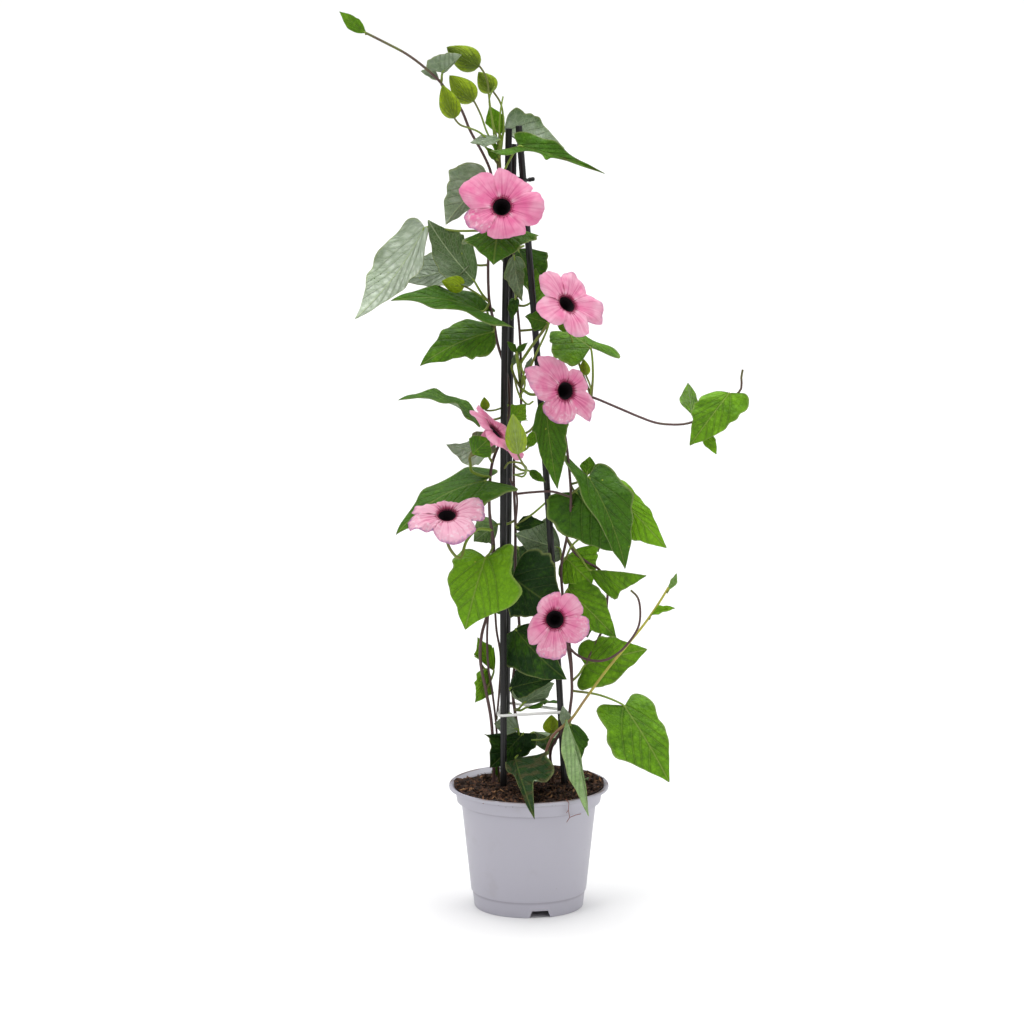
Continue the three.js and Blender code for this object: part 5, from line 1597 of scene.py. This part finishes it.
@dataclass(frozen=True)
class Bloom:
    """A five-petalled bloom: its tube, petals, dark throat and the green behind it."""

    plan: BloomPlan
    number: int
    tube: float = 22.0
    mouth: float = 7.2
    sunk: float = 0.6
    wall: float = 0.45
    calyx: float = 23.2
    notch: float = 0.76
    tuck: float = 3.0
    dome: float = 2.2
    droop: float = 1.6
    keel: float = 1.0
    flutter: float = 0.04
    crumple: Point = (0.12, 1.1)
    furl: float = 3.0
    rows: int = 12
    columns: int = 22
    # Half the tube's outline and the throat's: radius, and share of the tube's length.
    tube_line: Sequence[Point] = ((2.08, 1.0), (3.38, 0.86), (4.4, 0.6), (5.8, 0.36), (6.4, 0.14))
    throat_line: Sequence[Point] = ((2.4, 0.56), (3.6, 0.42), (5.0, 0.22))

    def frame(self) -> Callable[[float, float, float], Vector]:
        """Sets up the bloom's own coordinates: right, up and out of its face, from the eye.

        Returns:
            A function from these coordinates to a place in the plant.
        """
        face = Vector(self.plan.face).normalized()
        right = Vector((0, 0, 1)).cross(face).normalized()
        up, eye = face.cross(right), Vector(self.plan.eye)
        return lambda x, y, z: eye + right * x + up * y + face * z

    def cup(self, draft: Draft, profile: Sequence[Point], sides: int) -> None:
        """Adds a turned cup to a draft.

        Args:
            draft: The draft.
            profile: Its front surface from the middle of the bottom to the lip, as radius
                and depth.
            sides: The number of sides.
        """
        place, count = self.frame(), len(profile)
        patch, marks = [place(0, 0, profile[0][1])], [(0.0, 0.0, 0.0)]
        for radius, depth in profile:
            for angle in ring(sides):
                patch.append(place(*polar(radius, angle, depth)))
                marks.append((math.cos(2.5 * angle), radius, self.number + 0.1 * depth))
        rim = [1 + (count - 1) * sides + j for j in range(sides)]
        points, closed = thicken(patch, turned(count, sides, flip=True), rim, 0.0, self.wall)
        look = [(0.0, self.plan.pale, reach) for reach in (0.1, 0.6) for _ in marks]
        outside = [(a, 30.0, c) for a, _, c in marks]
        draft.add(points, closed, petal=[*marks, *outside], petal_look=look)

    def edge(self, index: int) -> list[Point]:
        """Ends one petal's edge where it tucks under both its neighbours.

        Args:
            index: Which petal of the plan it is.

        Returns:
            Points of the edge, as angle and reach.
        """
        petals = self.plan.petals
        edge = list(petals[index])
        behind, ahead = petals[index - 1][-1], petals[(index + 1) % len(petals)][0]
        back = -360 if index == 0 else 0
        on = 360 if index == len(petals) - 1 else 0
        ends = []
        for own, other, turn, way in ((edge[0], behind, back, -1), (edge[-1], ahead, on, 1)):
            angle = (own[0] + other[0] + turn) / 2 + self.tuck * way
            ends.append((angle, self.notch * min(own[1], other[1])))
        return [ends[0], *edge, ends[1]]

    def petal(self, draft: Draft, index: int) -> None:
        """Adds one petal to a draft.

        Args:
            draft: The draft.
            index: Which petal of the plan it is.
        """
        place, edge, wilt = self.frame(), self.edge(index), self.plan.wilt[index]
        start, end = edge[0][0], edge[-1][0]
        dice = Dice(31 + 17 * self.number + 5 * index)
        phase, lean = math.tau * dice.next(), 0.7 + 0.5 * dice.next()
        inner = self.mouth - self.sunk
        patch, marks, looks = [], [], []
        for row in range(self.rows + 1):
            rho = row / self.rows
            for column in range(self.columns + 1):
                alpha = 2 * column / self.columns - 1
                angle = start + (alpha + 1) / 2 * (end - start)
                fray = 1 + 0.01 * math.sin(9 * alpha + phase) + 0.008 * math.sin(21 * alpha + 2 * phase)
                reach = follow(edge, angle) * fray
                radius = inner + (reach - inner) * rho
                lift = self.dome * math.sin(math.pi * min(1.0, rho * 1.15) * 0.62) - self.sunk
                lift -= self.droop * rho**3 + self.furl * wilt * rho**5
                lift += lean * alpha * rho**0.7
                lift += self.flutter * reach * rho**2 * math.sin(4.2 * alpha + phase)
                lift -= self.keel * math.exp(-((alpha / 0.13) ** 2)) * rho * (1 - rho)
                crease = math.sin(10 * alpha + 5 * rho + phase) + 0.7 * math.sin(16 * rho - 6 * alpha)
                lift += (self.crumple[0] + self.crumple[1] * wilt) * crease * rho**1.5
                patch.append(place(*polar(radius, math.radians(angle), lift)))
                marks.append((alpha, radius, 3.0 * self.number + 0.7 * index))
                looks.append((wilt, self.plan.pale, rho))
        width, last = self.columns + 1, self.rows * (self.columns + 1)
        faces = [
            (low + c, low + width + c, low + width + c + 1, low + c + 1)
            for low in range(0, last, width)
            for c in range(self.columns)
        ]
        rim = [*range(0, last, width), *range(last, last + width)]
        rim += [*range(last - 1, 0, -width), *range(width - 2, 0, -1)]
        points, closed = thicken(patch, faces, rim, self.wall / 2, self.wall / 2)
        draft.add(points, closed, petal=marks * 2, petal_look=looks * 2)

    def bracts(self) -> list[Leaf]:
        """Shapes the bracts that clasp the tube, turned as the plan says.

        Returns:
            The two keeled bracts.
        """
        own, turn, half = self.frame(), math.radians(self.plan.turn), 7 * self.plan.broad

        def place(x: float, y: float, z: float) -> Vector:
            """A place in the bloom's frame, turned round its tube."""
            cos, sin = math.cos(turn), math.sin(turn)
            return own(x * cos - y * sin, x * sin + y * cos, z - self.calyx)

        mouth = self.calyx - 4.5
        # lit gives each bract a middling painted light.
        return [
            lance(
                place(0, s * 3.9, -0.6),
                place(0, s * 9.4, mouth),
                place(-half * s, s * 6, 11),
                place(half * s, s * 6, 11),
                2.5,
                place(0, 0, 0),
                lit=0.5,
                pale=0.1,
            )
            for s in (1, -1)
        ]

    def stalk(self, stem: Sequence[Vector]) -> Line:
        """Runs the stalk from behind the tube to the stem.

        Args:
            stem: The stem's line.

        Returns:
            The stalk's line and radii.
        """
        place = self.frame()
        foot = nearest(stem, Vector(self.plan.stalk[-1]))
        back = [place(0, 0, -self.calyx), place(0, 0, -self.calyx - 4)]
        line = smooth([*back, *self.plan.stalk[:-1], foot], 3.0)
        return line, [2.4, 1.8, *[1.15] * (len(line) - 2)]

    def build(self, finishes: Finishes) -> None:
        """Makes the petals with their tube, and the throat.

        Args:
            finishes: The plant's materials.
        """
        name, flower, throat = f"bloom_{self.number}", Draft(), Draft()
        tube = [(radius, -self.tube * share) for radius, share in self.tube_line]
        lip = [(self.mouth - 0.4, -0.6), (self.mouth + 0.6, 0.1)]
        self.cup(flower, [*tube, *lip], 30)
        for index in range(len(self.plan.petals)):
            self.petal(flower, index)
        inside = [(radius, -self.tube * share) for radius, share in self.throat_line]
        self.cup(throat, [*inside, (6.0, -1.6)], 24)
        for draft, piece, node, slot in (
            (flower, f"{name}_corolla", f"{name}_petals", "petal"),
            (throat, f"{name}_eye", f"{name}_throat", "throat"),
        ):
            place_piece(piece, draft.mesh(piece), finishes[slot], slot, [node], crisp=50)


@dataclass
class LeafyStem:
    """A climbing stem with its leaves, stalks, buds and the green of its blooms."""

    plan: VinePlan
    order: int
    blooms: list[Bloom]
    foot: float = 60.0
    stalk_radius: Point = (1.0, 0.75)

    def leaf_stalk(self, leaf: Leaf, line: Sequence[Vector]) -> Line:
        """Runs a leaf's stalk, sunk into the stem and the blade.

        Args:
            leaf: The leaf.
            line: The stem's line.

        Returns:
            The stalk's line and radii.
        """
        start, base = nearest(line, Vector(leaf.node)), Vector(leaf.base)
        ahead = (Vector(leaf.tip) - base).normalized()
        middle = leaf.via or start.lerp(base, 0.5) - Vector((0, 0, 1.5))
        path = smooth([start, middle, base, base + ahead * 3], 3.0)
        return path, [*taper(*self.stalk_radius, path)[:-1], 0.3]

    def build(self, finishes: Finishes) -> None:
        """Makes the stem, its stalks and its blades and buds.

        Args:
            finishes: The plant's materials.
        """
        name, plan = self.plan.name, self.plan
        line = smooth([(*plan.stem[0][:2], self.foot), *plan.stem], 4.0)
        stems: list[Line] = [(line, taper(*plan.radius, line))]
        stalks: list[Line] = []
        blades, buds = Draft(), Draft()
        for i, leaf in enumerate(plan.leaves):
            BladeShape(leaf, 11 + 97 * self.order + 13 * i).build(blades)
            stalks.append(self.leaf_stalk(leaf, line))
        for bud in plan.buds:
            BudShape(bud).build(buds)
            inside = Vector(bud.stalk[0]).lerp(Vector(bud.tip), 0.08)
            root = nearest(line, Vector(bud.stalk[-1]))
            path = smooth([inside, *bud.stalk[:-1], root], 3.0)
            stalks.append((path, [self.stalk_radius[1]] * len(path)))
        for hook in plan.hooks:
            path = smooth(hook.route, 3.0)
            (stalks if hook.green else stems).append((path, taper(*hook.radius, path)))
        for bloom in self.blooms:
            stalks.append(bloom.stalk(line))
            for k, bract in enumerate(bloom.bracts()):
                BladeShape(bract, 5 + k, rows=14, columns=5, wave=0.01).build(blades)
        bark = finishes["shoot" if plan is VINE_SHOOT else "bark"]
        rod, thin_rod = Sweep(Section.ROUND, 10), Sweep(Section.ROUND, 7)
        pieces = [("foliage", blades.mesh, (), finishes["leaf"], [name])]
        if plan.buds:
            pieces.append(("buds", buds.mesh, (), finishes["bud"], []))
        pieces.append(("stem", rod.mesh, (stems, bark), bark, []))
        pieces.append(("stalks", thin_rod.mesh, (stalks, finishes["stalk"]), finishes["stalk"], []))
        for part, make, given, material, nodes in pieces:
            piece = f"{name}_{part}"
            place_piece(piece, make(piece, *given), material, "foliage", nodes, crisp=60)


# ---- pot, compost, stakes and ties ----


@dataclass
class Pot:
    """A round nursery pot with a thin flared lip, a band, a stepped foot and notches."""

    height: float = 93.0
    wall: float = 1.6
    foot_radius: float = 40.6
    foot_top: float = 12.0
    body_radius: float = 50.2
    band_bottom: float = 80.5
    band_radius: float = 53.7
    band_top: float = 54.9
    lip_bottom: float = 90.3
    lip_radius: float = 59.6
    lip_width: float = 2.6
    floor: float = 5.6
    pad: float = 9.0
    notch: tuple[float, float, float] = (17.0, 12.0, 5.5)
    notch_depth: float = 6.0
    notch_angles: tuple[float, ...] = (-78, 42, 162)
    drain_radius: float = 3.5
    drain_circle: float = 24.0
    drains: int = 6
    drain_sides: int = 20
    sides: int = 144

    def profile(self) -> list[Point]:
        """Draws the wall's closed outline.

        Returns:
            Its corners, as radius and height.
        """
        w, foot, top = self.wall, self.foot_radius, self.foot_radius + 1.5
        band, lip, body = self.band_radius, self.lip_radius, self.body_radius
        # Each run holds steps out from a radius and up from a height.
        runs = [
            (0, 0, ((0, 0), (self.pad, 0), (self.pad + 1, 4))),
            (foot, 0, ((-w - 1, 4), (-w - 0.6, 0), (-0.4, 0), (0, 0.4))),
            (top, self.foot_top, ((0, 0), (0.25, 0.35), (0.75, 0.55), (0.95, 1.1))),
            (body, self.band_bottom, ((0, -1.5), (0.25, -0.6), (0.9, -0.1))),
            (band, self.band_bottom, ((-0.7, 0), (-0.1, 0.3), (0, 0.9))),
            (self.band_top, self.lip_bottom, ((0, -1.3), (0.3, -0.4), (1.1, 0))),
            (lip, self.lip_bottom, ((-0.9, 0), (-0.1, 0.4), (0, 1.1))),
            (lip, self.height, ((-0.05, -0.8), (-0.4, -0.15), (-0.9, 0), (-1.3, -0.1), (-1.6, -0.5))),
            (lip - self.lip_width, self.height, ((0.6, -0.15), (0, -0.5))),
            (self.band_top - w, self.lip_bottom, ((0, -0.8),)),
            (band - w, self.band_bottom, ((0, 1.5),)),
            (body - w, self.band_bottom, ((0, -0.5),)),
            (0, self.floor, ((top - w, 0), (0, 0))),
        ]
        return [(radius + x, level + z) for radius, level, steps in runs for x, z in steps]

    def notches(self) -> Mesh:
        """Makes what is cut out of the foot.

        Returns:
            Its blocks and plugs, as one mesh.
        """
        bottom, top, high = self.notch
        draft = Draft()
        corners = [(-bottom / 2, -1), (bottom / 2, -1), (top / 2, high), (-top / 2, high)]
        faces = [(3, 2, 1, 0), (4, 5, 6, 7)]
        faces += [(i, (i + 1) % 4, 4 + (i + 1) % 4, 4 + i) for i in range(4)]
        depths = (self.foot_radius - self.notch_depth, self.foot_radius + self.notch_depth)
        for turn in map(math.radians, self.notch_angles):
            side = polar(1, turn + math.pi / 2)
            draft.add([polar(d, turn, z) + side * x for d in depths for x, z in corners], faces)
        n = self.drain_sides
        sides = [(j, (j + 1) % n, n + (j + 1) % n, n + j) for j in range(n)]
        for k in range(self.drains):
            middle = polar(self.drain_circle, math.tau * (k + 0.5) / self.drains)
            plug = [middle + polar(self.drain_radius, a, z) for z in (-1.0, 12.0) for a in ring(n)]
            draft.add(plug, [tuple(range(n - 1, -1, -1)), tuple(range(n, 2 * n)), *sides])
        return draft.mesh("pot_cutters")

    def build(self, material: Material) -> None:
        """Turns the pot, cuts its foot and dresses it.

        Args:
            material: The moulded plastic.
        """
        profile = self.profile()
        points = [Vector((0, 0, profile[0][1])), Vector((0, 0, profile[-1][1]))]
        points += [polar(radius, a, z) for radius, z in profile[1:-1] for a in ring(self.sides)]
        draft = Draft()
        draft.add(points, turned(len(profile) - 2, self.sides, start=2, end=1))
        body = add_object("pot_body", draft.mesh("pot_body"))
        tool = add_object("pot_cutters", self.notches())
        cut = body.modifiers.new("cut", "BOOLEAN")
        cut.object = tool
        cut.solver = "EXACT"
        mesh = baked("nursery_pot", body)
        bpy.data.objects.remove(tool)
        place_piece("nursery_pot", mesh, material, "pot", ["pot"], crisp=32)


@dataclass
class Compost:
    """Peat compost that fills the pot, with crumbs, fibres and chips strewn on top."""

    top: float = 89.4
    radius: float = 56.0
    edge_rise: float = 2.2
    heap: float = 2.4
    heap_angles: Point = (2.6, 0.3)
    rough: float = 4.6
    lump: float = 9.0
    dip_angle: float = 2.32
    dip_depth: float = 5.5
    inward: float = 0.6
    rings: int = 40
    sides: int = 96
    top_steps: int = 26
    # Its lower outline inside the pot; the first rows sink with the surface.
    lower: Sequence[Point] = ((55.6, 91.2), (52.7, 89.0), (51.4, 82.2), (48.0, 79.5), (39.9, 6.2))
    sinking: int = 2
    root_radius: float = 0.24
    # lit paints the scrap's light and shade.
    scrap: Leaf = lance((41, 12, 93), (49, 8, 93.5), (45, 13, 95), (45, 7, 95), 1.5, (41, 12, 93), lit=0.3)

    def height(self, x: float, y: float) -> float:
        """Finds the surface's height at a place.

        Args:
            x: The place, to the right of the middle.
            y: The same, behind it.

        Returns:
            The height, in millimetres.
        """
        angle, share = math.atan2(y, x), math.hypot(x, y) / self.radius
        edge = max(0.0, share - 0.7) / 0.3
        heap = sum(self.heap * max(0.0, math.cos(angle - way)) * share for way in self.heap_angles)
        lumps = noise.fractal(Vector((x, y, 0.0)) / self.lump, 0.9, 2.1, 5) * self.rough
        level = self.top + self.edge_rise * edge**2 + heap - self.dip(angle) * min(1.0, share) ** 2
        return level + lumps * min(1.0, 8 * (1.02 - share))

    def dip(self, angle: float) -> float:
        """How far the compost has sunk at the wall, in one direction."""
        return self.dip_depth * max(0.0, math.cos(angle - self.dip_angle)) ** 9

    def ground(self) -> Mesh:
        """Makes the closed body of the compost.

        Returns:
            Its mesh, in metres.
        """
        points = [Vector((0, 0, self.height(0, 0)))]
        for k in range(1, self.rings + 1):
            for a in ring(self.sides):
                reach = self.radius * k / self.rings - self.inward * self.dip(a) * k / self.rings
                place = polar(reach, a)
                points.append(Vector((place.x, place.y, self.height(place.x, place.y))))
        for row, (radius, z) in enumerate(self.lower):
            for a in ring(self.sides):
                dip = self.dip(a) if row < self.sinking else 0.0
                points.append(polar(radius - self.inward * dip, a, z - dip))
        points.append(Vector((0, 0, self.lower[-1][1])))
        rows = self.rings + len(self.lower)
        draft = Draft()
        draft.add(points, turned(rows, self.sides, end=len(points) - 1, flip=True))
        return draft.mesh("compost")

    def surface(self) -> Mesh:
        """Makes the open top alone, for strewing.

        Returns:
            Its mesh, in metres.
        """
        steps, span = self.top_steps, self.radius - 0.4
        index = {}
        points: list[Vector] = []
        for i in range(-steps, steps + 1):
            for j in range(-steps, steps + 1):
                x, y = span * i / steps, span * j / steps
                if math.hypot(x, y) <= span - self.inward * self.dip(math.atan2(y, x)):
                    index[i, j] = len(points)
                    points.append(Vector((x, y, self.height(x, y) + 0.2)))
        squares = [((i, j), (i + 1, j), (i + 1, j + 1), (i, j + 1)) for i, j in index]
        draft = Draft()
        draft.add(points, [tuple(index[p] for p in s) for s in squares if all(p in index for p in s)])
        return draft.mesh("compost_top")

    def build(self, finishes: Finishes) -> None:
        """Makes the compost and what lies on it.

        Args:
            finishes: The plant's materials.
        """
        place_piece("compost", self.ground(), finishes["peat"], "soil", ["soil"], crisp=80)
        top = self.surface()
        crumbs = Scatter(spacing=3.1, length=2.3, girth=1.7, spread=0.7, seed=3)
        fibres = Scatter(spacing=3.2, length=4.2, girth=0.36, spread=0.6, seed=11)
        chips = Scatter(spacing=7.5, length=4.0, girth=0.9, spread=0.6, seed=23)
        bits = (("crumbs", crumbs, "peat"), ("fibres", fibres, "fibre"), ("chips", chips, "chip"))
        for name, scatter, finish in bits:
            material = finishes[finish]
            place_piece(name, scatter.mesh(name, top, material), material, "soil")
        scrap = Draft()
        BladeShape(self.scrap, 77, rows=12, columns=3).build(scrap)
        place_piece("leaf_scrap", scrap.mesh("leaf_scrap"), finishes["leaf"], "foliage", crisp=60)
        hairs = [([Vector(p) for p in route], [self.root_radius] * len(route)) for route in ROOT_HAIRS]
        roots = Sweep(Section.ROUND, 6).mesh("root_hairs", hairs, finishes["root"])
        place_piece("root_hairs", roots, finishes["root"], "soil")


@dataclass
class Stake:
    """A black plastic stake, ribbed lengthwise."""

    name: str
    line: Sequence[Point]
    radius: float = 2.5
    ribs: int = 9
    groove: float = 0.12

    def at_height(self, height: float) -> Vector:
        """Where the stake passes a height."""
        return min(smooth(self.line, 0.8), key=lambda p: abs(p.z - height)).copy()

    def build(self, material: Material) -> None:
        """Sweeps the ribbed section along the stake's slightly bowed line.

        Args:
            material: The black plastic.
        """
        path = smooth(self.line, 20.0)
        rod = Sweep(Section.RIBBED, self.ribs, self.groove)
        mesh = rod.mesh(f"{self.name}_rod", [(path, [self.radius] * len(path))], material)
        place_piece(f"{self.name}_rod", mesh, material, "stake", [self.name], crisp=25)


@dataclass
class Tie:
    """A loop drawn round the three stakes at one height, with or without a twisted end.

    The twist's line holds steps to the right from the loop and the radius there.
    """

    name: str
    node: str
    slot: str
    height: float
    radius: float
    stakes: list[Stake]
    twist: Sequence[Point] = ()
    slope: float = 0.0
    gap: float = 0.35
    sides: int = 12
    bends: int = 8

    def route(self) -> list[Vector]:
        """Runs the loop like a belt round three posts.

        Returns:
            Its corners.
        """
        posts = [stake.at_height(self.height) for stake in self.stakes]
        middle = sum(posts, Vector()) / len(posts)
        posts.sort(key=lambda p: math.atan2(p.y - middle.y, p.x - middle.x))
        reach = self.stakes[0].radius + self.gap + self.radius
        points = []
        for before, post, after in zip([posts[-1], *posts], posts, [*posts[1:], posts[0]]):
            arrive = math.atan2(post.y - before.y, post.x - before.x) - math.pi / 2
            leave = math.atan2(after.y - post.y, after.x - post.x) - math.pi / 2
            while leave < arrive:
                leave += math.tau
            for k in range(self.bends + 1):
                out = polar(reach, arrive + (leave - arrive) * k / self.bends)
                x, y = post.x + out.x, post.y + out.y
                points.append(Vector((x, y, self.height + self.slope * x)))
        return points

    def build(self, material: Material) -> None:
        """Sweeps the loop, with its twist where it has one.

        Args:
            material: The loop's finish.
        """
        route, cord = self.route(), Sweep(Section.ROUND, self.sides)
        loop = cord.mesh(self.name, [(route, [self.radius] * len(route))], material, closed=True)
        place_piece(self.name, loop, material, self.slot, [self.node], crisp=60)
        if self.twist:
            right = max(route, key=lambda p: p.x)
            path = [right + Vector((x, 0, 0.2 * x)) for x, _ in self.twist]
            radii = [radius for _, radius in self.twist]
            knot = cord.mesh(f"{self.name}_twist", [(path, radii)], material)
            place_piece(f"{self.name}_twist", knot, material, self.slot, crisp=60)


# ---- the studio ----


@dataclass(frozen=True)
class Studio:
    """A white sweep, soft lights and a long-lens camera a little above the pot."""

    lens: float = 210.94
    sensor: float = 36.0
    pitch: float = 11.8
    camera_at: tuple[float, float, float] = (-12.5, -4341.6, 1206.9)
    # Metres: half the sweep's width, its front and back, its bend and its top.
    wall: tuple[float, ...] = (4.0, -3.4, 2.2, 0.4, 0.46)
    bends: int = 16
    sky: float = 0.16
    # Each lamp's name, place, aim, side and power, in metres and watts.
    lamps: tuple[tuple[Any, ...], ...] = (
        ("top", (0, 0.7, 2.6), (0, 0.7, 0), 4.0, 130),
        ("key", (-1.6, -1.7, 1.9), (0, 0, 0.32), 1.2, 16),
        ("fill", (1.9, -1.4, 1.1), (0, 0, 0.3), 1.5, 10),
    )

    def sweep_wall(self) -> None:
        """Makes the floor that curves up into the backdrop."""
        width, front, back, radius, top = self.wall
        turns = [math.pi / 2 * k / self.bends for k in range(self.bends + 1)]
        curve = [(back - radius + radius * math.sin(a), radius - radius * math.cos(a)) for a in turns]
        line = [(front, 0.0), *curve, (back, top)]
        mesh = bpy.data.meshes.new("sweep_wall")
        faces = [(2 * i, 2 * i + 1, 2 * i + 3, 2 * i + 2) for i in range(len(line) - 1)]
        mesh.from_pydata([(x, y, z) for y, z in line for x in (-width, width)], [], faces)
        mesh.shade_smooth()
        wall = add_object("sweep_wall", mesh)
        # Seamless background paper: white and quite matt.
        mesh.materials.append(Finish("white_seamless_paper", "#f6f6f6", 0.9).build())

    def build(self) -> None:
        """Sets up the floor, world, lamps and camera."""
        self.sweep_wall()
        world = bpy.data.worlds.new("studio")
        world.use_nodes = True
        sky = world.node_tree.nodes["Background"]
        sky.inputs["Color"].default_value = linear("#ffffff")
        sky.inputs["Strength"].default_value = self.sky
        bpy.context.scene.world = world
        for name, place, aim, size, power in self.lamps:
            data = bpy.data.lights.new(name, "AREA")
            data.size = size
            data.energy = power
            lamp = add_object(name, data)
            lamp.location = place
            lamp.rotation_euler = (Vector(aim) - Vector(place)).to_track_quat("-Z", "Y").to_euler()
        bpy.context.scene.view_settings.view_transform = "Standard"
        data = bpy.data.cameras.new("camera")
        data.lens = self.lens
        data.sensor_width = self.sensor
        data.clip_end = 50
        camera = add_object("camera", data)
        camera.location = [c * MM for c in self.camera_at]
        camera.rotation_euler = (math.radians(90 - self.pitch), 0, 0)
        bpy.context.scene.camera = camera


# ---- assembly ----


def make_finishes() -> Finishes:
    """Builds the plant's materials.

    Returns:
        Each material, by the name of what wears it.
    """
    finishes = {
        # Waxy living leaf: a soft sheen above, almost matt below. Its base is the deep green of a blade in
        # painted shade.
        "leaf": LivingLeaf("living_leaf", "#16380a", 0.55, 1.3),
        # Young bud bract: yellower and thinner than a leaf, its greens running from painted shade to painted
        # light.
        "bud": LivingLeaf("bud_bract", "#2a3a08", 0.5, 1.3, mid="#5c7412", lit="#9cb81a", under="#6f7c38"),
        # Year-old twining stem: purple-brown skin that turns green at the tip.
        "bark": GreenStalk("twining_stem", "#6f8030", 0.5, fade_from=1.1, fade_to=1.45),
        # Young runner: reddish at its root and yellow-green at its tip.
        "shoot": GreenStalk("young_runner", "#b9b548", 0.5, old="#9c6f60", fade_from=0.5),
        # Leaf and bloom stalks: fresh green.
        "stalk": GreenStalk("green_stalk", "#86a03a", 0.5, old="#6d6a3a", fade_from=0.1),
        # Living petal: velvety, so a little sheen on a matt skin.
        "petal": LivingPetal("living_petal", "#e2699c", 0.65, 1.35, sheen=0.1),
        # Inside of the flower's tube: dark purple velvet.
        "throat": Finish("dark_throat", "#14030d", 0.85, 1.4),
        # Damp peat: matt, no gloss.
        "peat": Peat("damp_peat", "#24160f", 0.95, light="#75503a"),
        # Dry coir and peat fibres: lighter brown and matt.
        "fibre": Peat("peat_fibre", "#4a3020", 0.9, light="#96704c"),
        # Bark chips: pale wood, matt.
        "chip": Peat("bark_chip", "#7a5438", 0.9, light="#c49a6c"),
        # Dried root hair: thin red-brown skin.
        "root": Finish("root_hair", "#8a5646", 0.7, 1.4),
        # Injection-moulded polypropylene: even lavender white with a satin skin.
        "pot": MouldedPot("moulded_polypropylene", "#bab8c3", 0.42, 1.49),
        # Extruded black plastic: low gloss, with dust in its grooves.
        "stake": DustyPlastic("extruded_black_plastic", "#0c0a0b", 0.42, 1.5),
        # Plastic-coated garden wire, black.
        "wire": Finish("coated_garden_wire", "#0f0e0f", 0.5, 1.5),
        # Nylon cord: white and slightly glossy.
        "nylon": Finish("white_nylon", "#f4f3f0", 0.45, 1.53),
    }
    return {name: finish.build() for name, finish in finishes.items()}


def main() -> None:
    """Builds the plant in order."""
    logging.basicConfig(level=logging.INFO, format="%(message)s")
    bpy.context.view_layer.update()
    finishes = make_finishes()
    Pot().build(finishes["pot"])
    Compost().build(finishes)
    stakes = [Stake(name, line) for name, line in STAKE_LINES.items()]
    for stake in stakes:
        stake.build(finishes["stake"])
    twist = ((-0.3, 1.2), (1.0, 1.7), (2.4, 1.5), (3.8, 1.7), (4.8, 0.9))
    Tie("wire_tie", "top_tie", "black_tie", 547, 0.85, stakes, twist).build(finishes["wire"])
    Tie("cord_tie", "lower_tie", "white_tie", 147, 1.1, stakes, slope=0.06).build(finishes["nylon"])
    blooms = [Bloom(plan, number) for number, plan in enumerate(BLOOMS, start=1)]
    for order, plan in enumerate(VINES):
        own = [bloom for bloom in blooms if bloom.plan.vine == plan.name]
        LeafyStem(plan, order, own).build(finishes)
    for bloom in blooms:
        bloom.build(finishes)
    Studio().build()


if __name__ == "__main__":
    main()
